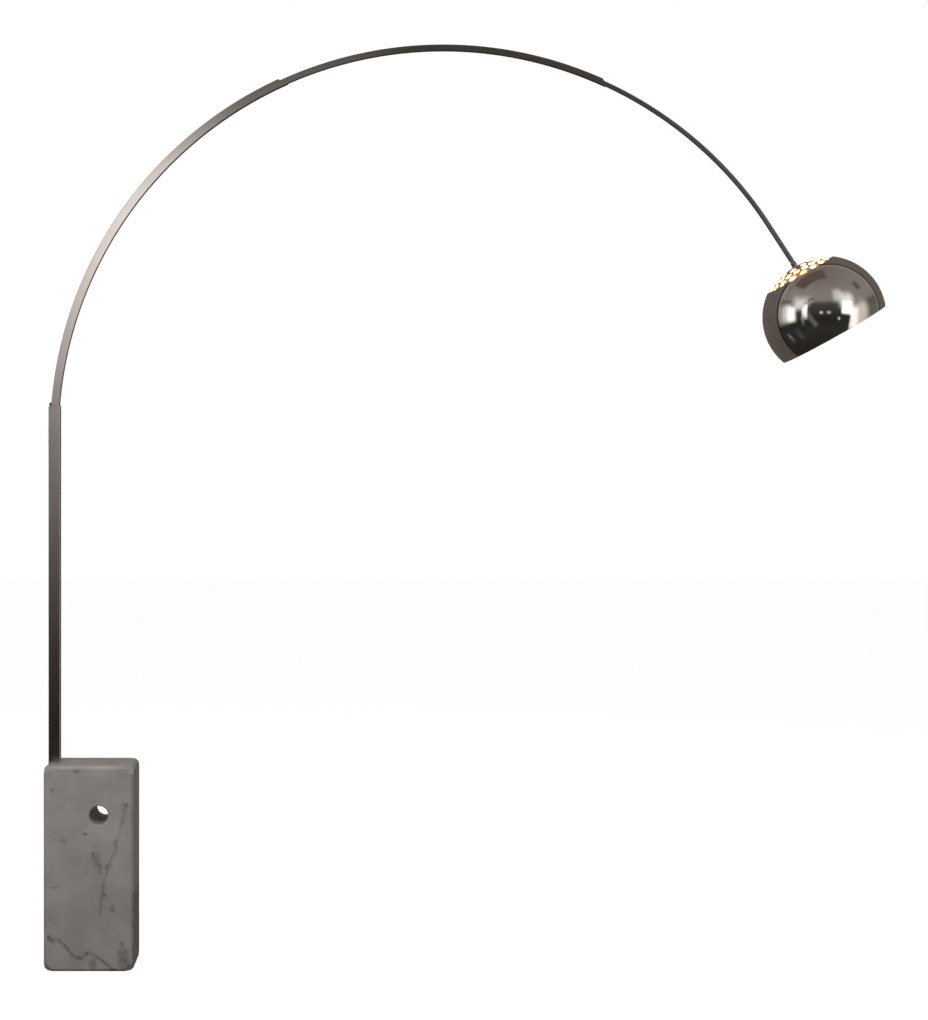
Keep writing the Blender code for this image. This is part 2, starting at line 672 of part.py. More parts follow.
def make_bulb(head):
    """A screw-base bulb. Its glass opens into the base, so the envelope is a shell."""
    crest = 0.0132
    root = 0.0126
    pitch = 0.0045
    top = 0.0985
    threads = 4
    outside = [(0.0060, top), (0.0120, top - 0.0010)]
    for i in range(threads):
        height = top - 0.0030 - i * pitch
        outside += [(root, height), (crest, height - pitch / 2)]
    bottom = top - 0.0030 - threads * pitch
    inside = [(root, bottom), (0.0120, bottom), (0.0120, top - 0.0020), (0.0060, top - 0.0020)]
    add_turned("bulb_base", outside + inside, "brass", head, steps=16)

    insulator = [(0, 0.1008), (0.0034, 0.1008), (0.0052, top + GAP), (0.0052, top - 0.0060)]
    insulator += [(0, top - 0.0060)]
    add_turned("bulb_insulator", insulator, "black_plastic", head, steps=16)
    tip = [(0, 0.1020), (0.0022, 0.1020), (0.0030, 0.1011), (0, 0.1011)]
    add_turned("bulb_contact", tip, "zinc_steel", head, steps=12)

    neck = 0.0116
    globe = 0.0300
    middle = 0.0350
    wall = 0.0008
    shoulder = math.radians(38.0)
    neck_top = 0.0910
    outer = [(neck, neck_top), (neck, bottom - 0.002), (0.0145, 0.0660)]
    inner = [(0.0145 - wall, 0.0660), (neck - wall, bottom - 0.002), (neck - wall, neck_top)]
    steps = 7
    for i in range(steps + 1):
        angle = shoulder + (math.pi - shoulder) * i / steps
        flat = 0.0 if i == steps else math.sin(angle)
        outer.append((globe * flat, middle + globe * math.cos(angle)))
        inner.insert(0, ((globe - wall) * flat, middle + (globe - wall) * math.cos(angle)))
    add_turned("bulb_glass", inner + outer, "opal_glass", head, steps=16)


def make_lamp():
    arc = add_frame("arc_frame", ARC_CENTRE)
    head = add_frame("head_frame", head_centre(), -HEAD_TILT)
    tilting = add_frame("reflector_tilt_frame", head_centre(), -HEAD_TILT)
    spinning = add_frame("reflector_spin_frame", head_centre(), -HEAD_TILT)

    block = make_block()
    stem = make_stem()
    fasten_stem(block, stem)
    make_cable_inlet(stem)
    make_stem_cable()

    first = add_section("arc_section_1", SECTION_1, arc)
    second = add_section("arc_section_2", SECTION_2, arc)
    add_section("arc_section_3", SECTION_3, arc, STRAIGHT_END)
    make_arc_foot(stem, first, arc)
    make_clamp(1, first, SECTION_1, SECTION_2, arc)
    make_clamp(2, second, SECTION_2, SECTION_3, arc)
    make_slide_pad(2, SECTION_2, SECTION_1, arc)
    make_slide_pad(3, SECTION_3, SECTION_2, arc)

    seam = math.degrees(GAP / 2 / CABLE_ARC_RADIUS)
    arc_cable("supply_cable_arc_1", SECTION_1["tail"] - seam, SECTION_2["tail"] + seam, arc)
    arc_cable("supply_cable_arc_2", SECTION_2["tail"] - seam, SECTION_3["tail"] + seam, arc)
    mouth = SECTION_3["mouth"]
    cable_end = on_arc(CABLE_ARC_RADIUS, mouth) + along_arc(mouth) * (STRAIGHT_END + 0.0010)
    arc_cable("supply_cable_arc_3", SECTION_3["tail"] - seam, mouth, arc, [cable_end])

    make_arm_end(arc, head)
    make_hanger(head)
    make_cap(head)
    make_lampholder(head)
    make_bulb(head)
    make_reflector(tilting, spinning)


make_lamp()
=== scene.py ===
"""Arc floor lamp: the looks of a marble block, a steel stem, a telescoping steel arc and a domed reflector.

Metres, +Z up. The arc lies in the XZ plane, and the head hangs from its end.
"""

import math

import bmesh
import bpy
from mathutils import Matrix, Vector


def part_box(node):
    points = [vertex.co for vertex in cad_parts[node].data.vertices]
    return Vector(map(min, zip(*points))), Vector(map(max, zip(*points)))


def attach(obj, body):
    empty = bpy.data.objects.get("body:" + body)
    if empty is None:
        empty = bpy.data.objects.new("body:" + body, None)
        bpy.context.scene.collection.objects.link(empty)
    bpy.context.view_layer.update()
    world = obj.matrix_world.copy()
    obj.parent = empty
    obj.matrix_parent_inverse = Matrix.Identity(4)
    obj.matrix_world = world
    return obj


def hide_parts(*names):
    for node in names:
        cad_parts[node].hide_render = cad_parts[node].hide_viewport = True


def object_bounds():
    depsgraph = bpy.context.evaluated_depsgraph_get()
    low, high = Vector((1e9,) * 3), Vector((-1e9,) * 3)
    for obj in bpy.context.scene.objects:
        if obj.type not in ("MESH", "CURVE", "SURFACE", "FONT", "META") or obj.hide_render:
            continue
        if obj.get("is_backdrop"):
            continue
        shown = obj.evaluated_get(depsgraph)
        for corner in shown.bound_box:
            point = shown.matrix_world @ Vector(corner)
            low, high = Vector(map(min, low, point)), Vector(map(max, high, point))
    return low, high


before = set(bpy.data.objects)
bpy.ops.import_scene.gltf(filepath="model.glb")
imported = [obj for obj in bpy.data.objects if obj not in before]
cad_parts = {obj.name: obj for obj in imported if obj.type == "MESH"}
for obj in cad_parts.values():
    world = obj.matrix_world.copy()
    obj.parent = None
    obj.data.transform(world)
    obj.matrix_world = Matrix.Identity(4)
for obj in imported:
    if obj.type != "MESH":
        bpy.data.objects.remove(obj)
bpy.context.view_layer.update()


# ---- Marble block ----
# One piece of grey-white marble, sawn, its edges broken and its corners cut, then polished.
# A bar goes through the hole to carry it, and a slot in its side takes the stem.


def add_node(tree, kind, inputs=None, **settings):
    """A shader node. inputs are numbers, colours or other nodes' output sockets."""
    node = tree.nodes.new(kind)
    for name, value in settings.items():
        setattr(node, name, value)
    for socket, value in (inputs or {}).items():
        if isinstance(value, bpy.types.NodeSocket):
            tree.links.new(value, node.inputs[socket])
        else:
            node.inputs[socket].default_value = value
    return node


def math_node(tree, operation, first, second=0.0, third=0.0):
    node = add_node(tree, "ShaderNodeMath", {0: first, 1: second, 2: third}, operation=operation)
    return node.outputs[0]


def times(tree, first, second):
    return math_node(tree, "MULTIPLY", first, second)


def times_plus(tree, first, second, third):
    return math_node(tree, "MULTIPLY_ADD", first, second, third)


def minus(tree, first, second):
    return math_node(tree, "SUBTRACT", first, second)


def larger(tree, first, second):
    return math_node(tree, "MAXIMUM", first, second)


def size_of(tree, value):
    return math_node(tree, "ABSOLUTE", value)


def axes(tree, place):
    return add_node(tree, "ShaderNodeSeparateXYZ", {0: place}).outputs


def joined(tree, x, y, z):
    return add_node(tree, "ShaderNodeCombineXYZ", {0: x, 1: y, 2: z}).outputs[0]


def vector_node(tree, operation, first, second=(0, 0, 0)):
    return add_node(tree, "ShaderNodeVectorMath", {0: first, 1: second}, operation=operation)


def blend_colour(tree, share, first, second):
    first, second = ((*tone, 1) if isinstance(tone, tuple) else tone for tone in (first, second))
    return add_node(tree, "ShaderNodeMix", {0: share, 6: first, 7: second}, data_type="RGBA").outputs[2]


def noise(tree, place, scale, detail=3.0, roughness=0.55):
    node = add_node(
        tree, "ShaderNodeTexNoise",
        {"Vector": place, "Scale": scale, "Detail": detail, "Roughness": roughness})
    return node.outputs[0]


def span(tree, value, low, high, to_low=0.0, to_high=1.0, smooth=True):
    """The value's place between low and high, carried to to_low and to_high."""
    node = add_node(
        tree, "ShaderNodeMapRange",
        {"Value": value, "From Min": low, "From Max": high, "To Min": to_low, "To Max": to_high},
        interpolation_type="SMOOTHSTEP" if smooth else "LINEAR")
    return node.outputs[0]


def new_effect(name, inputs, outputs):
    """A shader node group that several finishes share, its input node and its output node."""
    effect = bpy.data.node_groups.new(name, "ShaderNodeTree")
    for label, kind, value in inputs:
        socket = effect.interface.new_socket(label, in_out="INPUT", socket_type=kind)
        if value is not None:
            socket.default_value = value
    for label, kind in outputs:
        effect.interface.new_socket(label, in_out="OUTPUT", socket_type=kind)
    return effect, effect.nodes.new("NodeGroupInput"), effect.nodes.new("NodeGroupOutput")


def use_effect(tree, effect, inputs):
    node = add_node(tree, "ShaderNodeGroup", node_tree=effect)
    for socket, value in inputs.items():
        if isinstance(value, bpy.types.NodeSocket):
            tree.links.new(value, node.inputs[socket])
        else:
            node.inputs[socket].default_value = value
    return node.outputs


def new_finish(name, metallic=0.0, **constants):
    """A material, its tree, its shader and the piece's own coordinates."""
    material = bpy.data.materials.new(name)
    material.use_nodes = True
    tree = material.node_tree
    shader = tree.nodes["Principled BSDF"]
    shader.inputs["Metallic"].default_value = metallic
    for socket, value in constants.items():
        shader.inputs[socket.replace("_", " ")].default_value = value
    place = add_node(tree, "ShaderNodeTexCoord").outputs["Object"]
    return material, tree, shader, place


def feed(tree, shader, **sockets):
    """Links values into the shader's sockets, such as Base_Color."""
    for name, value in sockets.items():
        tree.links.new(value, shader.inputs[name.replace("_", " ")])


def set_relief(tree, shader, height, strength, distance):
    bump = add_node(
        tree, "ShaderNodeBump", {"Height": height, "Strength": strength, "Distance": distance})
    feed(tree, shader, Normal=bump.outputs[0])


FLOAT = "NodeSocketFloat"
VECTOR = "NodeSocketVector"

edge_wear, wear_in, wear_out = new_effect(
    "Edge wear", [("Reach", FLOAT, 0.001), ("Patch Size", FLOAT, 60.0)], [("Wear", FLOAT)])
wear_geometry = add_node(edge_wear, "ShaderNodeNewGeometry")
rounded = add_node(edge_wear, "ShaderNodeBevel", {"Radius": wear_in.outputs["Reach"]}, samples=4)
turn_off = vector_node(edge_wear, "DOT_PRODUCT", rounded.outputs[0], wear_geometry.outputs["Normal"])
bare_edge = span(edge_wear, turn_off.outputs["Value"], 0.995, 0.90)
wear_place = add_node(edge_wear, "ShaderNodeTexCoord").outputs["Object"]
wear_patches = span(
    edge_wear, noise(edge_wear, wear_place, wear_in.outputs["Patch Size"], 4.0), 0.35, 0.65)
edge_wear.links.new(times(edge_wear, bare_edge, wear_patches), wear_out.inputs["Wear"])



def worn_edges(tree, reach, patch_size):
    return use_effect(tree, edge_wear, {"Reach": reach, "Patch Size": patch_size})["Wear"]


vein_effect, vein_in, vein_out = new_effect(
    "Vein",
    [("Off Line", FLOAT, 0.0), ("Run", FLOAT, 0.0), ("Start", FLOAT, 0.0), ("End", FLOAT, 1.0),
     ("Width", FLOAT, 0.003)],
    [("Vein", FLOAT)])
off_line, run_in, start_in, end_in, width_in = vein_in.outputs[:5]
near = math_node(vein_effect, "DIVIDE", size_of(vein_effect, off_line), width_in)
begun = span(vein_effect, minus(vein_effect, run_in, start_in), -0.003, 0.003)
ended = span(vein_effect, minus(vein_effect, run_in, end_in), 0.003, -0.003)
shown = times(vein_effect, begun, ended)
halo = times(vein_effect, span(vein_effect, near, 1.4, 0.0), 0.6)
core = times_plus(vein_effect, span(vein_effect, near, 0.60, 0.05), 0.4, halo)
vein_effect.links.new(times(vein_effect, shown, core), vein_out.inputs["Vein"])

marble, tree, shader, place = new_finish("polished_marble", Coat_Weight=0.15, Coat_Roughness=0.12)
wander = vector_node(
    tree, "SUBTRACT",
    add_node(tree, "ShaderNodeTexNoise", {"Vector": place, "Scale": 48.0, "Detail": 6.0}).outputs["Color"],
    (0.5, 0.5, 0.5)).outputs[0]
wander = add_node(tree, "ShaderNodeVectorMath", {0: wander, 3: 0.018}, operation="SCALE").outputs[0]
moved = vector_node(tree, "ADD", place, wander).outputs[0]
split = axes(tree, moved)
depth = math_node(tree, "ADD", split[1], 0.095)
sheet_place = joined(
    tree, times_plus(tree, depth, 0.45, split[0]), 0.0,
    times_plus(tree, depth, 0.25, split[2]))

# A vein on the front face: whether it lies flat, its run, width and strength. A flat vein's run is
# (X, Z) points, and an upright one's is (Z, X) points.
VEINS = (
    (True, ((-0.110, 0.093), (-0.090, 0.088), (-0.073, 0.080), (-0.056, 0.062), (-0.040, 0.044),
            (-0.022, 0.036), (-0.001, 0.049), (0.018, 0.045), (0.042, 0.026), (0.062, 0.008),
            (0.080, 0.001)), 0.0085, 0.95),
    (False, ((0.150, 0.030), (0.190, 0.035), (0.212, 0.038), (0.256, 0.046), (0.285, 0.055),
             (0.325, 0.070), (0.370, 0.084), (0.405, 0.092), (0.450, 0.105)), 0.0066, 0.60),
    (False, ((0.000, 0.095), (0.028, 0.108), (0.050, 0.098), (0.080, 0.088)), 0.0080, 0.75),
    (False, ((0.258, 0.034), (0.284, 0.030), (0.303, 0.022), (0.322, 0.009)), 0.0065, 0.70),
)
BLOCK_WIDTH, BLOCK_HEIGHT = 0.240, 0.550
sheet = axes(tree, sheet_place)
veins = 0.0
for flat, run, width, strength in VEINS:
    along, across = (sheet[0], sheet[2]) if flat else (sheet[2], sheet[0])
    start = (-BLOCK_WIDTH / 2, 0.0) if flat else (0.0, -BLOCK_WIDTH / 2)
    size = (BLOCK_WIDTH, BLOCK_HEIGHT) if flat else (BLOCK_HEIGHT, BLOCK_WIDTH)
    share = math_node(tree, "DIVIDE", minus(tree, along, start[0]), size[0])
    path = add_node(tree, "ShaderNodeFloatCurve", {"Value": share})
    points = path.mapping.curves[0].points
    for _ in run[2:]:
        points.new(0.5, 0.5)
    for point, (course, aside) in zip(points, run):
        point.location = ((course - start[0]) / size[0], (aside - start[1]) / size[1])
    path.mapping.update()
    line = times_plus(tree, path.outputs[0], size[1], start[1])
    vein = use_effect(tree, vein_effect, {
        "Off Line": minus(tree, across, line), "Run": along, "Start": run[0][0],
        "End": run[-1][0], "Width": width})[0]
    veins = larger(tree, veins, times(tree, vein, strength))

# Smudges in the stone: (X, Z), (half width, half height), strength.
SMUDGES = (
    ((-0.090, 0.086), (0.020, 0.010), 0.75), ((0.013, 0.022), (0.014, 0.024), 0.60),
    ((0.094, 0.034), (0.022, 0.046), 0.85), ((0.042, 0.206), (0.010, 0.007), 0.80),
    ((0.024, 0.296), (0.017, 0.030), 0.55), ((-0.008, 0.369), (0.008, 0.005), 0.85),
    ((-0.084, 0.225), (0.018, 0.006), 0.62), ((0.066, 0.169), (0.012, 0.010), 0.60),
    ((-0.094, 0.487), (0.007, 0.006), 0.70), ((-0.064, 0.350), (0.014, 0.007), 0.45),
    ((0.101, 0.447), (0.010, 0.008), 0.75), ((-0.033, 0.538), (0.016, 0.007), 0.45),
    ((0.050, 0.280), (0.008, 0.016), 0.60), ((0.074, 0.345), (0.006, 0.018), 0.50),
)
for (x, z), (half_x, half_z), strength in SMUDGES:
    spread = add_node(
        tree, "ShaderNodeVectorMath",
        {0: sheet_place, 1: (1 / half_x, 0.0, 1 / half_z), 2: (-x / half_x, 0.0, -z / half_z)},
        operation="MULTIPLY_ADD").outputs[0]
    off = vector_node(tree, "LENGTH", spread).outputs["Value"]
    veins = larger(tree, veins, span(tree, off, 1.15, 0.25, 0.0, strength))
clouds = span(tree, noise(tree, moved, 9.0, 7.0, 0.62), 0.30, 0.72)
grain = noise(tree, place, 240.0, 3.0)
thin = size_of(tree, minus(tree, noise(tree, sheet_place, 11.0, 4.0), 0.5))
thin = times(tree, span(tree, thin, 0.012, 0.0), 0.16)
specks = times(tree, span(tree, noise(tree, place, 95.0, 2.0), 0.70, 0.76), 0.28)
marks = larger(tree, veins, larger(tree, thin, specks))
breaks = span(tree, noise(tree, place, 42.0, 6.0, 0.64), 0.34, 0.62, 0.30, 1.0)
marks = times(tree, marks, breaks)
ground = blend_colour(tree, clouds, (0.385, 0.366, 0.360), (0.525, 0.503, 0.497))
ground = blend_colour(tree, span(tree, grain, 0.3, 0.7, 0.0, 0.16), ground, (0.60, 0.58, 0.56))
ground = blend_colour(tree, marks, ground, (0.125, 0.120, 0.116))
# Painted shade on the side face up to this height, and painted light on it above.
SIDE_BAND_TOP = 0.210
on_side = span(tree, split[0], 0.1175, 0.1195)
for below, above, strength, band_tone in (
        (0.002, -0.002, 0.54, (0.13, 0.115, 0.105)), (-0.002, 0.002, 0.50, (0.66, 0.58, 0.56))):
    painted_side_band = times(
        tree, on_side, span(tree, split[2], SIDE_BAND_TOP + below, SIDE_BAND_TOP + above))
    ground = blend_colour(tree, times(tree, painted_side_band, strength), ground, band_tone)
# Painted shade: the stone darkens towards the bottom, where less light falls.
painted_low_shade = times(tree, span(tree, split[2], 0.42, 0.0), 0.20)
ground = blend_colour(tree, painted_low_shade, ground, (0.20, 0.19, 0.18))
worn = worn_edges(tree, 0.0016, 40.0)
ground = blend_colour(tree, times(tree, worn, 0.55), ground, (0.74, 0.72, 0.69))
polish = times_plus(tree, clouds, 0.10, 0.30)
feed(tree, shader, Base_Color=ground, Roughness=times_plus(tree, worn, 0.25, polish))
set_relief(tree, shader, times_plus(tree, marks, -0.6, grain), 0.10, 0.0004)


def settle(piece):
    """Turns a piece's modifiers into its mesh."""
    bpy.context.view_layer.update()
    made = piece.evaluated_get(bpy.context.evaluated_depsgraph_get())
    mesh = bpy.data.meshes.new_from_object(made)
    piece.modifiers.clear()
    piece.data = mesh


def shade(piece, sharp=32.0, flats=False):
    """Smooth shading, with a crease wherever two faces turn by more than sharp degrees.

    flats keeps the large flat faces flat, so that only the rounded edges between them bend the light.
    """
    piece.data.shade_smooth()
    piece.data.set_sharp_from_angle(angle=math.radians(sharp))
    if flats:
        weighted = piece.modifiers.new("flat_faces", "WEIGHTED_NORMAL")
        weighted.mode = "FACE_AREA"
        weighted.weight = 90
        weighted.keep_sharp = True
        settle(piece)


def piece_from(name, bm, finish=None, place=None):
    bmesh.ops.recalc_face_normals(bm, faces=bm.faces[:])
    mesh = bpy.data.meshes.new(name)
    bm.to_mesh(mesh)
    bm.free()
    piece = bpy.data.objects.new(name, mesh)
    bpy.context.scene.collection.objects.link(piece)
    if place is not None:
        piece.matrix_world = place
    if finish is not None:
        mesh.materials.append(finish)
    return piece


def carve(piece, *cutters):
    """Cuts other solids out of a piece, and removes them."""
    for cutter in cutters:
        cut = piece.modifiers.new(cutter.name, "BOOLEAN")
        cut.operation = "DIFFERENCE"
        cut.solver = "EXACT"
        cut.object = cutter
    settle(piece)
    for cutter in cutters:
        bpy.data.objects.remove(cutter, do_unlink=True)


def soften(piece, width, segments=3, angle=25.0):
    bevel = piece.modifiers.new("soft_edges", "BEVEL")
    bevel.width = width
    bevel.segments = segments
    bevel.limit_method = "ANGLE"
    bevel.angle_limit = math.radians(angle)
    bevel.harden_normals = False
    settle(piece)


def slice_off(bm, point, normal):
    """Removes what lies on the normal's side of a plane and closes the cut."""
    whole = bm.verts[:] + bm.edges[:] + bm.faces[:]
    cut = bmesh.ops.bisect_plane(bm, geom=whole, plane_co=point, plane_no=normal, clear_outer=True)
    bmesh.ops.edgeloop_fill(bm, edges=[e for e in cut["geom_cut"] if isinstance(e, bmesh.types.BMEdge)])


def skin(name, rings, finish, place=None, join_ends=False, capped=False, closed=True):
    """Faces between rows of points, such as the stations of a sweep or the sides of a turned piece."""
    bm = bmesh.new()
    rows = [[bm.verts.new(point) for point in ring] for ring in rings]
    if join_ends:
        rows.append(rows[0])
    count = len(rings[0]) if closed else len(rings[0]) - 1
    for near_row, far_row in zip(rows, rows[1:]):
        for i in range(count):
            j = (i + 1) % len(near_row)
            bm.faces.new((near_row[i], near_row[j], far_row[j], far_row[i]))
    if capped:
        bm.faces.new(rows[0])
        bm.faces.new(reversed(rows[-1]))
    bmesh.ops.remove_doubles(bm, verts=bm.verts[:], dist=1e-6)
    return piece_from(name, bm, finish, place)


def turned(name, profile, finish, steps=64, place=None, closed=True):
    """A turned piece about its own Z. The profile is (radius, height) points."""
    rings = []
    for i in range(steps):
        angle = 2 * math.pi * i / steps
        rings.append([(r * math.cos(angle), r * math.sin(angle), h) for r, h in profile])
    return skin(name, rings, finish, place, join_ends=True, closed=closed)


block_low, block_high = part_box("marble_base")
BLOCK_EDGE_CUT = 0.0075
BLOCK_CORNER_CUT = 0.029
HOLE_X, HOLE_Z, HOLE_RADIUS, HOLE_RIM = 0.028, 0.418, 0.025, 0.0025
SLOT_HALF, SLOT_SIDE, SLOT_BOTTOM = 0.0133, -0.0857, 0.250
CUTTER_OVERRUN = 0.002
bm = bmesh.new()
middle = (block_low + block_high) / 2
bmesh.ops.create_cube(
    bm, size=1.0, matrix=Matrix.Translation(middle) @ Matrix.Diagonal((*(block_high - block_low), 1.0)))
bmesh.ops.bevel(bm, geom=bm.edges[:], offset=BLOCK_EDGE_CUT, segments=1, affect="EDGES")
for x_side in (-1, 1):
    for y_side in (-1, 1):
        for end in (-1, 1):
            corner = Vector((
                x_side * (block_high.x - BLOCK_CORNER_CUT), y_side * block_high.y,
                block_high.z if end > 0 else 0.0))
            slice_off(bm, corner, Vector((x_side, y_side, end)).normalized())
block = piece_from("marble_block", bm, marble)
reach_out = block_high.y + CUTTER_OVERRUN
flare = HOLE_RADIUS + HOLE_RIM + CUTTER_OVERRUN
straight = block_high.y - HOLE_RIM
hole_profile = [
    (0, reach_out), (flare, reach_out), (HOLE_RADIUS, straight),
    (HOLE_RADIUS, -straight), (flare, -reach_out), (0, -reach_out)]
hole_cutter = turned(
    "hole_cutter", hole_profile, None, 96,
    Matrix.Translation((HOLE_X, 0, HOLE_Z)) @ Matrix.Rotation(math.pi / 2, 4, "X"), closed=False)
bm = bmesh.new()
slot_low = Vector((-0.24, -SLOT_HALF, SLOT_BOTTOM))
slot_high = Vector((SLOT_SIDE, SLOT_HALF, 0.65))
bmesh.ops.create_cube(
    bm, size=1.0,
    matrix=Matrix.Translation((slot_low + slot_high) / 2) @ Matrix.Diagonal((*(slot_high - slot_low), 1.0)))
slot_cutter = piece_from("slot_cutter", bm)
carve(block, hole_cutter, slot_cutter)
soften(block, 0.0009, 3, 20.0)
shade(block, 40.0, flats=True)
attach(block, "stand")
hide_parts("marble_base")


# ---- Stem ----
# A square tube of stainless steel, brushed along its length. It stands in the block's slot, its top is
# trimmed with a groove below the rim, and a plug closes its foot.
brushing, brush_in, brush_out = new_effect(
    "Brushing", [("Lie", VECTOR, None), ("Fineness", FLOAT, 900.0)],
    [("Streaks", FLOAT), ("Smears", FLOAT)])
lie = axes(brushing, brush_in.outputs["Lie"])
stretched = joined(brushing, times(brushing, lie[0], 0.012), lie[1], lie[2])
brushing.links.new(
    noise(brushing, stretched, brush_in.outputs["Fineness"], 3.0, 0.7), brush_out.inputs["Streaks"])
drawn = joined(brushing, times(brushing, lie[0], 0.30), lie[1], lie[2])
brushing.links.new(noise(brushing, drawn, 34.0, 4.0, 0.6), brush_out.inputs["Smears"])


def steel_finish(name, lie_of, dark, light, roughness, fineness=900.0, unevenness=1.0):
    """Brushed stainless steel. lie_of gives the coordinates along and across the brushing.

    unevenness says how strongly the streaks and smears show.
    """
    finish, tree, shader, place = new_finish(name, metallic=1.0)
    marks = use_effect(tree, brushing, {"Lie": lie_of(tree, place), "Fineness": fineness})
    streaks = span(tree, marks["Streaks"], 0.25, 0.75)
    smears = span(tree, marks["Smears"], 0.35, 0.70)
    colour = blend_colour(tree, streaks, dark, light)
    colour = blend_colour(
        tree, times(tree, smears, 0.18 * unevenness), colour, (0.36, 0.33, 0.29))
    worn = worn_edges(tree, 0.0006, 90.0)
    colour = blend_colour(tree, times(tree, worn, 0.5), colour, (0.74, 0.72, 0.69))
    rough = times_plus(tree, streaks, 0.05 * unevenness, roughness)
    rough = times_plus(tree, smears, 0.06 * unevenness, rough)
    feed(tree, shader, Base_Color=colour, Roughness=rough)
    set_relief(tree, shader, marks["Streaks"], 0.03 * unevenness ** 2, 0.0002)
    return finish


def upright_lie(tree, place):
    parts = axes(tree, place)
    return joined(tree, parts[2], parts[0], parts[1])


stem_steel = steel_finish(
    "brushed_stem_steel", upright_lie, (0.49, 0.455, 0.43), (0.57, 0.535, 0.51), 0.17)
stem_low, stem_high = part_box("stem_tube")
STEM_WALL = 0.0015
STEM_CORNER = 0.0016
STEM_TOP_CUT = 0.004


def rounded_square(low, high, corner, height, inset=0.0, turns=5):
    """Points round a rectangle with rounded corners, at one height."""
    points = []
    centres = (
        (high.x - corner, high.y - corner, 0), (low.x + corner, high.y - corner, 90),
        (low.x + corner, low.y + corner, 180), (high.x - corner, low.y + corner, 270))
    for x, y, start in centres:
        for i in range(turns + 1):
            angle = math.radians(start + 90 * i / turns)
            points.append((
                x + (corner - inset) * math.cos(angle), y + (corner - inset) * math.sin(angle), height))
    return points


stem_stations = (
    (stem_low.z, 0.0004), (stem_low.z + 0.0004, 0.0), (stem_high.z - 0.0075, 0.0),
    (stem_high.z - 0.0071, 0.0004), (stem_high.z - 0.0066, 0.0004), (stem_high.z - 0.0062, 0.0),
    (stem_high.z - 0.0007, 0.0), (stem_high.z, 0.0007))
rings = [rounded_square(stem_low, stem_high, STEM_CORNER, z, inset) for z, inset in stem_stations]
rings += [
    rounded_square(stem_low, stem_high, STEM_CORNER, z, min(STEM_CORNER - 0.0001, STEM_WALL))
    for z in (stem_high.z, stem_low.z)]
stem = skin("stem_tube_steel", rings, stem_steel, join_ends=True)
bm = bmesh.new()
CUTTER_THICKNESS = 0.02
cut_side = Vector((stem_low.x, 0, stem_high.z))
bmesh.ops.create_cube(bm, size=1.0)
turn = Matrix.Rotation(-math.pi / 4, 4, "Y")
offset = Vector((-1, 0, 1)).normalized() * (CUTTER_THICKNESS / 2 - STEM_TOP_CUT / math.sqrt(2))
bmesh.ops.transform(
    bm, verts=bm.verts[:],
    matrix=Matrix.Translation(cut_side + offset) @ turn @ Matrix.Diagonal((0.1, 0.1, CUTTER_THICKNESS, 1.0)))
top_cutter = piece_from("top_cutter", bm)


def round_cutter(name, radius, start, end, steps=48):
    start, end = Vector(start), Vector(end)
    turn = (end - start).to_track_quat("Z", "Y").to_matrix().to_4x4()
    length = (end - start).length
    profile = [(0, 0), (radius, 0), (radius, length), (0, length)]
    return turned(name, profile, None, steps, Matrix.Translation(start) @ turn, closed=False)


BOLT_HEIGHTS = (0.505, 0.345)
ARC_SCREW_HEIGHTS = (1.449, 1.423)
INLET_HEIGHT = 0.285
stem_holes = [top_cutter]
for z in BOLT_HEIGHTS:
    stem_holes.append(round_cutter("bolt_hole", 0.0043, (stem_low.x - 0.01, 0, z), (-0.0857, 0, z)))
for z in ARC_SCREW_HEIGHTS:
    stem_holes.append(round_cutter("screw_hole", 0.0028, (stem_low.x - 0.01, 0, z), (-0.105, 0, z)))
stem_holes.append(round_cutter(
    "inlet_hole", 0.0060, (stem_low.x - 0.01, 0, INLET_HEIGHT), (stem_low.x + 0.004, 0, INLET_HEIGHT)))
carve(stem, *stem_holes)
shade(stem, 28.0, flats=True)
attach(stem, "stand")
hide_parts("stem_tube")


# ---- Bolts and screws ----
# Zinc-plated button-head screws with a hexagon socket. Two hold the stem in the block, and two
# smaller ones hold the arc's foot in the stem.


def mottled_finish(
        name, scale, detail, dark, light, rough, patches=(0.3, 0.7), glow=None, moulded=False,
        **constants):
    """A finish that drifts in patches between two colours, and with them in roughness and glow.

    A moulded finish takes its roughness from the bare noise, and returns that for its relief.
    """
    finish, tree, shader, place = new_finish(name, **constants)
    grain = noise(tree, place, scale, detail)
    drift = span(tree, grain, *patches)
    feed(tree, shader, Base_Color=blend_colour(tree, drift, dark, light))
    if glow:
        feed(tree, shader, Emission_Color=blend_colour(tree, drift, *glow))
    if moulded:
        feed(tree, shader, Roughness=span(tree, grain, *patches, *rough))
        return finish, tree, shader, place, grain
    feed(tree, shader, Roughness=span(tree, drift, 0.0, 1.0, *rough))
    return finish, tree, shader, place, drift


zinc, tree, shader, place, drift = mottled_finish(
    "zinc_plate", 700.0, 4.0, (0.50, 0.50, 0.49), (0.66, 0.66, 0.64), (0.30, 0.46), metallic=1.0)
worn = worn_edges(tree, 0.0003, 300.0)
worn = times(tree, worn, 0.6)
plate = shader.inputs["Base Color"].links[0].from_socket
feed(tree, shader, Base_Color=blend_colour(tree, worn, plate, (0.80, 0.79, 0.76)))
set_relief(tree, shader, noise(tree, place, 1500.0, 2.0), 0.10, 0.0001)


def hexagon_cutter(name, across, depth, place):
    """A hexagon socket's cutter, whose mouth is at the place's origin and which runs along +Z."""
    profile = [(0, -0.001), (across / math.sqrt(3), -0.001), (across / math.sqrt(3), depth), (0, depth)]
    return turned(name, profile, None, 6, place, closed=False)


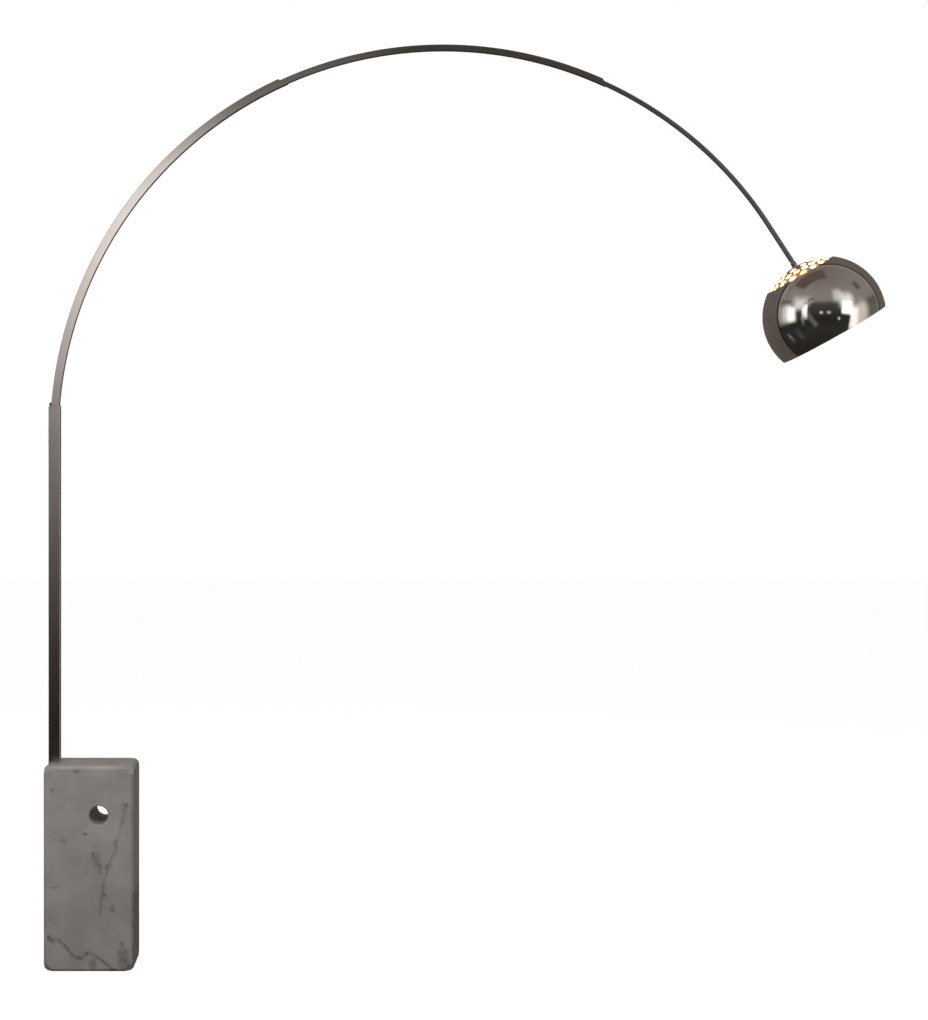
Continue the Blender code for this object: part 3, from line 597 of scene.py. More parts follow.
def button_screw(name, node, radius, head_radius, head_height, shank, socket, place):
    """A button-head screw. Its head's flat underside is at the place's origin, and +Z is the shank."""
    dome = [(0.0, -head_height), (head_radius * 0.5, -head_height)]
    for i in range(1, 9):
        angle = math.radians(85 - 10 * i)
        dome.append((
            head_radius * (0.55 + 0.45 * math.cos(angle)), -head_height * (0.12 + 0.88 * math.sin(angle))))
    dome += [(head_radius, -head_height * 0.10), (head_radius * 0.985, 0.0), (radius, 0.0)]
    dome += [(radius, shank - 0.0006), (radius - 0.0006, shank), (0.0, shank)]
    screw = turned(name, dome, zinc, 48, place, closed=False)
    socket_place = place @ Matrix.Translation((0, 0, -head_height))
    carve(screw, hexagon_cutter("socket", socket, head_height * 0.75, socket_place))
    screw.data.materials.clear()
    screw.data.materials.append(zinc)
    shade(screw, 30.0)
    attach(screw, "stand")
    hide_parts(node)


into_lamp = Matrix.Rotation(math.pi / 2, 4, "Y")
for level, z in zip(("upper", "lower"), BOLT_HEIGHTS):
    low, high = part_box(f"stem_bolt_{level}")
    seat = Vector((stem_low.x - 0.0003, 0, z))
    button_screw(
        f"stem_bolt_{level}_zinc", f"stem_bolt_{level}", 0.004, 0.007, seat.x - low.x, high.x - seat.x,
        0.0040, Matrix.Translation(seat) @ into_lamp)
for level, z in zip(("upper", "lower"), ARC_SCREW_HEIGHTS):
    low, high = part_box(f"arc_screw_{level}")
    seat = Vector((stem_low.x - 0.0003, 0, z))
    button_screw(
        f"arc_screw_{level}_zinc", f"arc_screw_{level}", 0.0025, 0.0045, seat.x - low.x, high.x - seat.x,
        0.0025, Matrix.Translation(seat) @ into_lamp)


def finish_nodes(finish, *nodes):
    """Gives hidden parts of the frame their finish."""
    for node in nodes:
        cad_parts[node].data.materials.clear()
        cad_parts[node].data.materials.append(finish)


finish_nodes(
    zinc, "arc_spacer", "arc_nut_plate", "clamp_plate_1", "clamp_plate_2", "head_nipple", "bulb_contact")


# ---- Inlet grommet ----
# A moulded rubber grommet snapped into the stem's wall, where the supply cord enters.
rubber, tree, shader, place, grain = mottled_finish(
    "moulded_rubber", 500.0, 4.0, (0.012, 0.012, 0.012), (0.030, 0.029, 0.028), (0.62, 0.80), moulded=True)
set_relief(tree, shader, grain, 0.2, 0.0001)
inlet_low, inlet_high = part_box("cable_grommet")
wall_in = STEM_WALL + 0.0003
BORE, NECK, FLANGE = 0.0034, 0.0057, 0.0080
outside = stem_low.x - inlet_low.x
inside = inlet_high.x - stem_low.x
grommet_profile = [
    (BORE + 0.0005, -outside), (FLANGE - 0.0016, -outside), (FLANGE - 0.0006, -outside * 0.8),
    (FLANGE, -outside * 0.45), (FLANGE, -0.0003), (NECK, -0.0003), (NECK, wall_in), (FLANGE, wall_in),
    (FLANGE, inside - 0.0003), (FLANGE - 0.0005, inside), (BORE + 0.0003, inside), (BORE, inside - 0.0004),
    (BORE, -outside + 0.0005)]
grommet = turned(
    "inlet_grommet", grommet_profile, rubber, 64,
    Matrix.Translation((stem_low.x, 0, INLET_HEIGHT)) @ into_lamp)
shade(grommet, 40.0)
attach(grommet, "stand")
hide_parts("cable_grommet")


# ---- Hidden fittings in the stem and arc ----
# Brass sleeves in the marble, a nylon terminal block and slide pads, black moulded plugs and wedge,
# and the sheathed cable that runs through the lamp.
brass = mottled_finish(
    "turned_brass", 260.0, 5.0, (0.74, 0.56, 0.27), (0.46, 0.31, 0.13), (0.24, 0.46), (0.35, 0.70),
    metallic=1.0)[0]
nylon, tree, shader, place, drift = mottled_finish(
    "natural_nylon", 320.0, 4.0, (0.62, 0.59, 0.52), (0.74, 0.72, 0.66), (0.42, 0.58),
    Subsurface_Weight=0.15)
set_relief(tree, shader, drift, 0.1, 0.0001)
BLACK_LOW, BLACK_HIGH, BLACK_ROUGH = (0.016, 0.016, 0.016), (0.034, 0.033, 0.032), (0.40, 0.52)
plastic, tree, shader, place, grain = mottled_finish(
    "black_moulding", 900.0, 3.0, BLACK_LOW, BLACK_HIGH, BLACK_ROUGH, moulded=True)
worn = worn_edges(tree, 0.0004, 200.0)
pebbled = shader.inputs["Roughness"].links[0].from_socket
feed(tree, shader, Roughness=times_plus(tree, worn, -0.15, pebbled))
set_relief(tree, shader, grain, 0.15, 0.0001)
sheath = mottled_finish(
    "cable_sheath", 420.0, 2.0, (0.030, 0.030, 0.030), (0.060, 0.058, 0.056), (0.50, 0.68), moulded=True)[0]
finish_nodes(
    brass, "marble_sleeve_upper", "marble_sleeve_lower", "cap_lock_nut", "lampholder_contact",
    "lampholder_sleeve")
finish_nodes(nylon, "terminal_block", "slide_pad_2", "slide_pad_3", "swivel_washer")
finish_nodes(plastic, "stem_foot_plug", "arc_wedge", "bulb_insulator")
finish_nodes(
    sheath, "supply_cable_stem", "supply_cable_arc_1", "supply_cable_arc_2", "supply_cable_arc_3",
    "supply_cable_head")


# ---- Arc ----
# Three lipped channels of stainless steel, rolled to one centre so that each slides in the last.
# They are brushed along their length, and each mouth is cut on a slant.
ARC_CENTRE = Vector((0.9552, 0.0, 1.4359))
ARC_INNER = {1: 1.0471, 2: 1.0486, 3: 1.0501}
ARC_OUTER = {1: 1.0691, 2: 1.0646, 3: 1.0608}
ARC_WIDTH = {1: 0.0200, 2: 0.0166, 3: 0.0132}
LOCK_ANGLE = {1: 117.0, 2: 67.0}
ARC_END = 33.0
STRAIGHT_END = 0.118
SHEET = 0.0012
LIP_THICKNESS = 0.0010
LIP_REACH = 0.0030
CORNER = 0.0010


def arc_lie(tree, place):
    """Coordinates along the arc, outwards from its centre and across it."""
    from_centre = vector_node(tree, "SUBTRACT", place, ARC_CENTRE[:]).outputs[0]
    parts = axes(tree, from_centre)
    angle = math_node(tree, "ARCTAN2", parts[2], parts[0])
    radius = math_node(
        tree, "SQRT", times_plus(
            tree, parts[0], parts[0], times(tree, parts[2], parts[2])))
    return joined(tree, times(tree, angle, 1.058), radius, parts[1])


arc_steel = steel_finish(
    "brushed_arc_steel", arc_lie, (0.53, 0.49, 0.46), (0.60, 0.56, 0.53), 0.145, unevenness=0.4)


def polar(radius, degrees, across=0.0):
    angle = math.radians(degrees)
    return ARC_CENTRE + Vector((radius * math.cos(angle), across, radius * math.sin(angle)))


def onward(degrees):
    angle = math.radians(degrees)
    return Vector((math.sin(angle), 0.0, -math.cos(angle)))


def channel_outline(inner, outer, width):
    """(radius, across) points of the channel's section, open towards the arc's centre."""
    half = width / 2
    slot = half - SHEET - LIP_REACH
    back = []
    for i in range(5):
        angle = math.radians(90 * i / 4)
        back.append((
            outer - CORNER * (1 - math.cos(angle)), half - CORNER * (1 - math.sin(angle))))
    right = back + [
        (inner + 0.0004, half), (inner, half - 0.0004), (inner, slot + 0.0002),
        (inner + 0.0002, slot), (inner + LIP_THICKNESS - 0.0002, slot),
        (inner + LIP_THICKNESS, slot + 0.0002), (inner + LIP_THICKNESS, half - SHEET),
        (outer - SHEET, half - SHEET)]
    return right + [(radius, -across) for radius, across in reversed(right)]


def rolled_channel(number, body, tail, mouth, straight=0.0, holes=()):
    """One section of the arc, from its tail's angle to its mouth's, in degrees from +X."""
    inner, outer = ARC_INNER[number], ARC_OUTER[number]
    outline = channel_outline(inner, outer, ARC_WIDTH[number])
    middle = (inner + outer) / 2
    fine = 0.5
    last = mouth if straight else mouth + 2.0
    stations = round((tail - last) / fine)
    rings = []
    for i in range(stations + 1):
        degrees = tail + (last - tail) * i / stations
        rings.append([polar(radius, degrees, across) for radius, across in outline])
    if straight:
        rings.append([polar(radius, mouth, across) + onward(mouth) * straight for radius, across in outline])
    else:
        for share in (0.25, 0.5, 0.75, 1.0):
            ring = []
            for radius, across in outline:
                slant = math.degrees((middle - radius) / radius)
                ring.append(polar(radius, last + (mouth - slant - last) * share, across))
            rings.append(ring)
    channel = skin(f"arc_channel_{number}", rings, arc_steel, capped=True)
    if holes:
        carve(channel, *holes)
    shade(channel, 24.0, flats=True)
    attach(channel, body)
    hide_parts(f"arc_section_{number}")


foot_holes = [
    round_cutter("foot_hole", 0.0028, (stem_low.x - 0.01, 0, z), (-0.095, 0, z)) for z in ARC_SCREW_HEIGHTS]
lock_hole_1 = round_cutter("lock_hole_1", 0.0028, polar(1.0620, LOCK_ANGLE[1]), polar(1.0731, LOCK_ANGLE[1]))
lock_hole_2 = round_cutter("lock_hole_2", 0.0023, polar(1.0590, LOCK_ANGLE[2]), polar(1.0686, LOCK_ANGLE[2]))
rolled_channel(1, "stand", 184.0, 114.3, holes=(*foot_holes, lock_hole_1))
rolled_channel(2, "arc_2", 124.0, 65.5, holes=(lock_hole_2,))
rolled_channel(3, "arc_3", 73.0, ARC_END, straight=STRAIGHT_END)


# ---- Lock screws ----
# A slotted set screw at each mouth. It goes through the channel's back and a threaded plate inside,
# and presses on the next channel.
for number, radius, bottom in ((1, 0.0025, 1.0649), (2, 0.0020, 1.0611)):
    degrees = LOCK_ANGLE[number]
    length = ARC_OUTER[number] * math.cos(math.radians(1.0)) - bottom
    profile = [(0.0, 0.0), (radius * 0.8, 0.0), (radius, 0.0004), (radius, length - 0.0003)]
    profile += [(radius * 0.9, length), (0.0, length)]
    place = Matrix.Translation(polar(bottom, degrees)) @ Matrix.Rotation(math.radians(90 - degrees), 4, "Y")
    screw = turned(f"set_screw_{number}", profile, zinc, 48, place, closed=False)
    bm = bmesh.new()
    bmesh.ops.create_cube(bm, size=1.0, matrix=Matrix.Diagonal((0.0007, radius * 4, 0.0022, 1.0)))
    slot = piece_from("driver_slot", bm, None, place @ Matrix.Translation((0, 0, length)))
    carve(screw, slot)
    shade(screw, 30.0)
    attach(screw, f"lock_screw_{number}")
    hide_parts(f"lock_screw_{number}")


# ---- Arm end fitting ----
# A turned steel collar whose square spigot is pressed into the third channel. The head's threaded
# tube screws up into it.
HEAD_TILT = math.radians(30.0)
FITTING_TOP = 0.172
down_the_head = Vector((math.sin(HEAD_TILT), 0, -math.cos(HEAD_TILT)))
arm_end = polar((ARC_INNER[3] + ARC_OUTER[3]) / 2, ARC_END) + onward(ARC_END) * (STRAIGHT_END + 0.001)
HEAD_CENTRE = arm_end + down_the_head * FITTING_TOP
head_place = Matrix.Translation(HEAD_CENTRE) @ Matrix.Rotation(-HEAD_TILT, 4, "Y")


def ring_lie(tree, place):
    """Coordinates round a turned piece's axis, so that the marks run round it."""
    parts = axes(tree, place)
    radius = math_node(
        tree, "SQRT", times_plus(
            tree, parts[0], parts[0], times(tree, parts[1], parts[1])))
    angle = math_node(tree, "ARCTAN2", parts[1], parts[0])
    return joined(tree, times(tree, angle, 0.05), parts[2], radius)


# Painted shade: the collar's steel is darker than the arc's, for the dark reflections at the arm's end.
darkened_collar_steel = steel_finish(
    "turned_collar_steel_painted_shade", ring_lie, (0.30, 0.27, 0.24), (0.40, 0.36, 0.32), 0.30, 1600.0)
CAP_RADIUS = 0.1562
collar_profile = [
    (0.0050, 0.1706), (0.0058, 0.1710), (0.0064, 0.1707), (0.0073, 0.1692), (0.0075, 0.1686),
    (0.0075, CAP_RADIUS + 0.0019), (0.0071, CAP_RADIUS + 0.0015), (0.0053, CAP_RADIUS + 0.0015),
    (0.0053, 0.1690), (0.0050, 0.1690)]
collar = turned("arm_end_collar", collar_profile, darkened_collar_steel, 64, head_place)
bm = bmesh.new()
GAP = 0.0003
SPIGOT_DEPTH = 0.024
spigot_low = ARC_INNER[3] + LIP_THICKNESS + GAP
spigot_high = ARC_OUTER[3] - SHEET - GAP
spigot_half = ARC_WIDTH[3] / 2 - SHEET - GAP
corners = []
for reach in (STRAIGHT_END - SPIGOT_DEPTH, STRAIGHT_END + 0.0030):
    for radius, across in (
            (spigot_low, -spigot_half), (spigot_high, -spigot_half),
            (spigot_high, spigot_half), (spigot_low, spigot_half)):
        corners.append(bm.verts.new(polar(radius, ARC_END, across) + onward(ARC_END) * reach))
bm.faces.new(corners[:4])
bm.faces.new(corners[4:])
for i in range(4):
    j = (i + 1) % 4
    bm.faces.new((corners[i], corners[j], corners[4 + j], corners[4 + i]))
spigot = piece_from("arm_end_spigot", bm, darkened_collar_steel)
soften(spigot, 0.0004, 2)
shade(collar, 30.0)
shade(spigot, 30.0, flats=True)
for piece in (collar, spigot):
    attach(piece, "arc_3")
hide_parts("arm_end_fitting")


# ---- Perforated cap ----
# A dome spun from aluminium sheet, polished outside and white inside. Three rings of round holes
# let light and heat out. The bulb's light on their cut edges and round them is painted as glow.
sheen, sheen_in, sheen_out = new_effect(
    "Spun polish", [("Place", VECTOR, None), ("Fineness", FLOAT, 2600.0)],
    [("Rings", FLOAT), ("Haze", FLOAT), ("Scratches", FLOAT)])
spun_parts = axes(sheen, sheen_in.outputs["Place"])
height_only = add_node(sheen, "ShaderNodeCombineXYZ", {2: spun_parts[2]}).outputs[0]
sheen.links.new(
    noise(sheen, height_only, sheen_in.outputs["Fineness"], 2.0, 0.6), sheen_out.inputs["Rings"])
sheen.links.new(noise(sheen, sheen_in.outputs["Place"], 22.0, 5.0, 0.6), sheen_out.inputs["Haze"])
scratch_place = vector_node(sheen, "MULTIPLY", sheen_in.outputs["Place"], (40.0, 300.0, 900.0)).outputs[0]
scratch = span(sheen, noise(sheen, scratch_place, 1.0, 2.0), 0.68, 0.76)
sheen.links.new(scratch, sheen_out.inputs["Scratches"])


def polished_finish(name, roughness, glow=None):
    """Spun aluminium, polished: faint rings, handling haze and hairline scratches."""
    finish, tree, shader, place = new_finish(name, metallic=1.0)
    # Painted light: glow paints the bulb's warm light on the outside, between two angles from the axis.
    if glow:
        steepness = axes(tree, vector_node(tree, "NORMALIZE", place).outputs[0])[2]
        painted_spill = span(tree, steepness, *(math.cos(math.radians(angle)) for angle in glow))
        patchy = span(tree, noise(tree, place, 55.0, 2.0), 0.25, 0.75, 0.55, 1.0)
        painted_spill = times(tree, painted_spill, patchy)
        feed(tree, shader, Emission_Color=blend_colour(tree, painted_spill, (0, 0, 0), (0.60, 0.25, 0.09)))
        shader.inputs["Emission Strength"].default_value = 1.0
    marks = use_effect(tree, sheen, {"Place": place})
    haze = span(tree, marks["Haze"], 0.40, 0.75)
    colour = blend_colour(tree, haze, (0.800, 0.785, 0.765), (0.720, 0.700, 0.675))
    colour = blend_colour(
        tree, times(tree, marks["Scratches"], 0.15), colour, (0.55, 0.54, 0.52))
    rough = times_plus(tree, haze, 0.05, roughness)
    rough = times_plus(tree, marks["Rings"], 0.02, rough)
    rough = times_plus(tree, marks["Scratches"], 0.08, rough)
    feed(tree, shader, Base_Color=colour, Roughness=rough)
    wave = times_plus(tree, noise(tree, place, 16.0, 2.0), 4.0, marks["Rings"])
    set_relief(tree, shader, wave, 0.04, 0.0004)
    return finish


polished = polished_finish("polished_aluminium_bowl", 0.055)
# The cap's outside carries painted light: a warm glow between 12 and 36 degrees from its axis.
polished_cap = polished_finish("polished_aluminium_cap", 0.09, glow=(12.0, 36.0))
# Painted light: the white lacquer glows warm, more towards the cap, for the bulb's light inside the head.
lacquer, tree, shader, place, drift = mottled_finish(
    "white_lacquer_painted_glow", 60.0, 5.0, (0.78, 0.74, 0.66), (0.86, 0.83, 0.76), (0.34, 0.46),
    Emission_Strength=2.6)
up_the_head = axes(tree, place)[2]
lit = span(tree, up_the_head, -0.02, 0.14, 0.10, 1.0)
feed(tree, shader, Emission_Color=blend_colour(tree, lit, (0, 0, 0), (1.0, 0.68, 0.37)))
set_relief(tree, shader, noise(tree, place, 800.0, 2.0), 0.08, 0.0001)


def dome_run(radius, start, end, steps):
    """Profile points on a sphere, by angle in degrees from the head's axis."""
    run = []
    for i in range(steps + 1):
        angle = math.radians(start + (end - start) * i / max(steps, 1))
        run.append((radius * math.sin(angle), radius * math.cos(angle)))
    return run


# Painted light: the holes' cut edges glow orange, for the bulb's light on them.
cut_edge = mottled_finish(
    "lit_cut_edge", 400.0, 3.0, (0.70, 0.62, 0.50), (0.82, 0.76, 0.66), (0.30, 0.45),
    glow=((0.85, 0.36, 0.08), (1.0, 0.50, 0.16)), metallic=0.6, Emission_Strength=1.1)[0]


def lacquer_inside(piece, finish):
    """Gives a dome polish outside, and white lacquer inside and cut edges that carry painted light."""
    piece.data.materials.clear()
    for material in (finish, lacquer, cut_edge):
        piece.data.materials.append(material)
    for face in piece.data.polygons:
        outwards = face.normal.dot(face.center.normalized())
        face.material_index = 0 if outwards > 0.5 else 1 if outwards < -0.5 else 2


def true_dome_normals(piece, outer, inner):
    """Shades the faces of a perforated dome as the spheres that they lie on."""
    mesh = piece.data
    normals = [None] * len(mesh.loops)
    for face in mesh.polygons:
        for index in face.loop_indices:
            point = mesh.vertices[mesh.loops[index].vertex_index].co
            outwards = face.normal.dot(face.center.normalized())
            if abs(outwards) > 0.9 and min(abs(point.length - outer), abs(point.length - inner)) < 0.0004:
                normals[index] = point.normalized() * (1 if outwards > 0 else -1)
            else:
                normals[index] = face.normal.copy()
    mesh.normals_split_custom_set(normals)


CAP_SHEET = 0.0012
CAP_EDGE = 62.0
# Each ring of holes: degrees from the axis, hole radius, number of holes and the first one's bearing
HOLE_RINGS = ((31.8, 0.0105, 16, 15.7), (23.6, 0.0098, 16, 4.45), (15.2, 0.0092, 8, 15.7))
cap_hole = math.degrees(math.asin(0.0053 / CAP_RADIUS))
cap_profile = dome_run(CAP_RADIUS, cap_hole, CAP_EDGE, 40)
cap_profile += dome_run(CAP_RADIUS - CAP_SHEET, CAP_EDGE, cap_hole, 40)
cap = turned("perforated_cap", cap_profile, polished_cap, 144, head_place)
bm = bmesh.new()
for from_axis, radius, count, first in HOLE_RINGS:
    down = math.radians(from_axis)
    for i in range(count):
        around = math.radians(first + 360 / count * i)
        flat = math.sin(down)
        outward = Vector((flat * math.sin(around), -flat * math.cos(around), math.cos(down)))
        turn = outward.to_track_quat("Z", "Y").to_matrix().to_4x4()
        bmesh.ops.create_cone(
            bm, cap_ends=True, segments=28, radius1=radius, radius2=radius, depth=0.006,
            matrix=Matrix.Translation(outward * (CAP_RADIUS - CAP_SHEET / 2)) @ turn)
carve(cap, piece_from("cap_punches", bm, None, head_place))
lacquer_inside(cap, polished_cap)
true_dome_normals(cap, CAP_RADIUS, CAP_RADIUS - CAP_SHEET)
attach(cap, "head")
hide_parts("reflector_cap")


# ---- Lampholder ----
# A screw lampholder: a black cover clamped on the threaded tube, and a glazed porcelain body with a
# brass screw sleeve inside.
porcelain = mottled_finish(
    "glazed_porcelain", 150.0, 4.0, (0.76, 0.74, 0.69), (0.84, 0.82, 0.78), (0.20, 0.30),
    Coat_Weight=0.5, Coat_Roughness=0.06)[0]
# Painted light: the black cover glows warm, for the bulb's light thrown back onto it by the white dome.
lit_moulding = mottled_finish(
    "black_moulding_lit", 900.0, 3.0, BLACK_LOW, BLACK_HIGH, BLACK_ROUGH,
    glow=((0.90, 0.50, 0.20), (1.0, 0.64, 0.32)), Emission_Strength=1.5)[0]
cover_profile = [
    (0.0053, 0.1456), (0.0057, 0.1460), (0.0080, 0.1460), (0.0085, 0.1455), (0.0085, 0.1405),
    (0.0092, 0.1396), (0.0145, 0.1373), (0.0168, 0.1352), (0.0186, 0.1326), (0.0195, 0.1295),
    (0.0195, 0.1250), (0.0190, 0.1246), (0.0190, 0.1240), (0.0195, 0.1236), (0.0195, 0.1112),
    (0.0190, 0.1108), (0.0190, 0.1102), (0.0195, 0.1098), (0.0195, 0.1083), (0.0192, 0.1080),
    (0.0170, 0.1080), (0.0170, 0.1300), (0.0135, 0.1335), (0.0053, 0.1335)]
cover = turned("lampholder_cover_black", cover_profile, lit_moulding, 72, head_place)
body_profile = [
    (0.0022, 0.1077), (0.0190, 0.1077), (0.0195, 0.1072), (0.0195, 0.0880), (0.0191, 0.0850),
    (0.0184, 0.0810), (0.0176, 0.0800), (0.0156, 0.0800), (0.0150, 0.0806), (0.0150, 0.1037),
    (0.0022, 0.1037)]
body = turned("lampholder_body_porcelain", body_profile, porcelain, 72, head_place)
for piece, node, slot_name in (
        (cover, "lampholder_cover", "black_plastic"), (body, "lampholder_body", "porcelain")):
    shade(piece, 35.0)
    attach(piece, "head")
    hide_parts(node)


# ---- Bulb ----
# An opal globe bulb, alight, with a rolled brass screw base.
opal, tree, shader, place = new_finish("opal_glass_alight", Emission_Strength=26.0, Roughness=0.18)
glow = span(tree, noise(tree, place, 30.0, 3.0), 0.3, 0.7)
heart = span(tree, axes(tree, place)[2], 0.010, 0.085)
warm = blend_colour(tree, glow, (1.0, 0.70, 0.38), (1.0, 0.76, 0.45))
feed(
    tree, shader, Base_Color=blend_colour(tree, glow, (0.92, 0.88, 0.80), (0.96, 0.93, 0.87)),
    Emission_Color=blend_colour(tree, heart, warm, (0.85, 0.42, 0.15)))
GLOBE, GLOBE_MIDDLE, GLASS = 0.0300, 0.0350, 0.0008
NECK_RADIUS, NECK_TOP, NECK_FOOT = 0.0116, 0.0910, 0.0755
SHOULDER = 38.0
glass_outer = [
    (NECK_RADIUS, NECK_TOP), (NECK_RADIUS, NECK_FOOT), (0.0121, 0.0715), (0.0134, 0.0680),
    (0.0154, 0.0642)]
glass_inner = [(radius - GLASS, height) for radius, height in reversed(glass_outer)]
for i in range(1, 37):
    angle = math.radians(SHOULDER + (180 - SHOULDER) * i / 36)
    flat = 0.0 if i == 36 else math.sin(angle)
    glass_outer.append((GLOBE * flat, GLOBE_MIDDLE + GLOBE * math.cos(angle)))
    glass_inner.insert(0, ((GLOBE - GLASS) * flat, GLOBE_MIDDLE + (GLOBE - GLASS) * math.cos(angle)))
bulb = turned("globe_bulb_glass", glass_inner + glass_outer, opal, 72, head_place, closed=False)
shade(bulb, 50.0)
BASE_TOP, PITCH, CREST, ROOT = 0.0985, 0.0045, 0.0132, 0.0126
base_profile = [(0.0060, BASE_TOP), (0.0112, BASE_TOP - 0.0004), (0.0122, BASE_TOP - 0.0016)]
for i in range(4):
    height = BASE_TOP - 0.0030 - i * PITCH
    for j in range(6):
        share = j / 6
        base_profile.append((
            ROOT + (CREST - ROOT) * (0.5 - 0.5 * math.cos(2 * math.pi * share)), height - PITCH * share))
base_bottom = BASE_TOP - 0.0030 - 4 * PITCH
base_profile += [
    (ROOT, base_bottom), (0.0120, base_bottom), (0.0120, BASE_TOP - 0.0020), (0.0060, BASE_TOP - 0.0020)]
base = turned("bulb_base_brass", base_profile, brass, 64, head_place)
shade(base, 40.0)
for piece, node, slot_name in ((bulb, "bulb_glass", "opal_glass"), (base, "bulb_base", "brass")):
    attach(piece, "head")
    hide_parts(node)


# ---- Seat ring ----
# A nylon ring between the bowl's turned-in neck and the cap. It lets the bowl slide on the cap like
# a ball in its seat, and the bulb's light behind it is painted on it as an amber glow.
# Painted light: the ring's amber emission stands for the bulb's light behind it.
amber = mottled_finish(
    "amber_nylon", 90.0, 3.0, (0.62, 0.50, 0.36), (0.70, 0.60, 0.46), (0.40, 0.52),
    glow=((0.80, 0.30, 0.08), (1.0, 0.48, 0.16)), Emission_Strength=0.35, Subsurface_Weight=0.3)[0]
SEAT_OUTER, SEAT_INNER = 0.1584, 0.1568
seat_profile = dome_run(SEAT_OUTER, 36.9, 40.5, 4) + dome_run(SEAT_INNER, 40.5, 36.9, 4)
seat = turned("seat_ring_nylon", seat_profile, amber, 144, head_place)
shade(seat, 40.0)
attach(seat, "seat")
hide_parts("reflector_seat_ring")


# ---- Reflector bowl ----
# A deep bowl spun from aluminium and polished to a mirror, white inside. Its neck is turned in to
# rest on the seat ring, and its rim is trimmed square.
BOWL_RADIUS, BOWL_SHEET = 0.1634, 0.0013
BOWL_NECK, BOWL_RIM = 37.5, 110.3
LIP_RADIUS = 0.1587
bowl_inner = BOWL_RADIUS - BOWL_SHEET
bowl_profile = []
for radius, start, end, steps in (
        (BOWL_RADIUS - 0.0004, BOWL_NECK, BOWL_NECK, 0),
        (BOWL_RADIUS, BOWL_NECK + 0.15, BOWL_RIM - 0.12, 72),
        (BOWL_RADIUS - 0.0003, BOWL_RIM, BOWL_RIM, 0), (bowl_inner + 0.0003, BOWL_RIM, BOWL_RIM, 0),
        (bowl_inner, BOWL_RIM - 0.12, BOWL_NECK + 0.5, 72), (LIP_RADIUS, BOWL_NECK + 0.5, BOWL_NECK, 1)):
    bowl_profile += dome_run(radius, start, end, steps)
bowl = turned("reflector_bowl_polished", bowl_profile, polished, 192, head_place)
# Painted light: the white inside carries the lacquer's warm glow from the bulb.
lacquer_inside(bowl, polished)
for face in bowl.data.polygons:
    if face.material_index == 2:
        face.material_index = 0
shade(bowl, 30.0)
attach(bowl, "reflector")
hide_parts("reflector_bowl")


# ---- Studio ----
# A pale floor, one big soft light above and in front, and a dim room round the lamp for the metal to
# reflect: a dark floor, a warm grey ceiling and back wall, and tall windows.
floor_finish, tree, shader, place = new_finish("pale_floor", Emission_Strength=0.80, Roughness=0.9)
pale = span(tree, noise(tree, place, 3.0, 3.0), 0.3, 0.7)
tone = blend_colour(tree, pale, (0.90, 0.90, 0.90), (0.92, 0.92, 0.92))
feed(tree, shader, Base_Color=tone)
shader.inputs["Emission Color"].default_value = (1, 1, 1, 1)
FLOOR_SIDE = 60.0
bm = bmesh.new()
bmesh.ops.create_grid(bm, x_segments=1, y_segments=1, size=FLOOR_SIDE / 2)
floor = piece_from("floor", bm, floor_finish, Matrix.Translation((1.0, 0, -0.0005)))
floor.visible_diffuse = False
floor.visible_glossy = False
floor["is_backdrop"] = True


def reflected_card(name, low, high, y, brightness):
    """An upright panel that only reflections see. brightness is (height, value) steps going up."""
    finish = bpy.data.materials.new(name)
    finish.use_nodes = True
    tree = finish.node_tree
    tree.nodes.clear()
    place = add_node(tree, "ShaderNodeTexCoord").outputs["Object"]
    height = axes(tree, place)[2]
    bottom, top = brightness[0][0], brightness[-1][0]
    rise = span(tree, height, bottom, top, smooth=False)
    ramp = add_node(tree, "ShaderNodeValToRGB", {0: rise})
    steps = ramp.color_ramp.elements
    for _ in brightness[2:]:
        steps.new(0.5)
    for step, (level, value) in zip(steps, brightness):
        step.position = (level - bottom) / (top - bottom)
        pale = min(value / 0.2, 1.0)
        step.color = (value, value * (0.83 + 0.14 * pale), value * (0.74 + 0.20 * pale), 1)
    glow = add_node(tree, "ShaderNodeEmission", {"Color": ramp.outputs[0], "Strength": 1.0})
    add_node(tree, "ShaderNodeOutputMaterial", {"Surface": glow.outputs[0]})
    bm = bmesh.new()
    corners = ((low[0], low[1]), (high[0], low[1]), (high[0], high[1]), (low[0], high[1]))
    bm.faces.new([bm.verts.new((x, y, z)) for x, z in corners])
    card = piece_from(name, bm, finish)
    card.visible_camera = False
    card.visible_diffuse = False
    card.visible_shadow = False
    card.visible_transmission = False
    card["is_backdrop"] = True


reflected_card(
    "near_window", (-0.20, 1.30), (0.30, 2.74), -1.74,
    ((1.30, 0.15), (1.46, 0.45), (1.62, 1.10), (2.10, 1.40), (2.30, 1.55), (2.41, 1.45), (2.50, 1.05),
     (2.58, 0.66), (2.66, 0.42), (2.74, 0.24)))
reflected_card(
    "window_blind", (-0.47, 1.57), (-0.20, 2.30), -1.74,
    ((1.57, 0.34), (1.64, 0.42), (1.74, 0.66), (1.86, 0.72), (1.98, 0.92), (2.10, 1.05), (2.30, 1.30)))
reflected_card(
    "window_head", (0.30, 2.58), (0.84, 2.96), -1.74,
    ((2.58, 0.40), (2.68, 0.30), (2.76, 0.21), (2.84, 0.17), (2.96, 0.14)))
reflected_card(
    "lit_wall", (-0.66, 0.10), (-0.20, 1.62), -1.80,
    ((0.10, 0.018), (0.46, 0.024), (0.72, 0.050), (0.97, 0.13), (1.22, 0.25), (1.62, 0.40)))

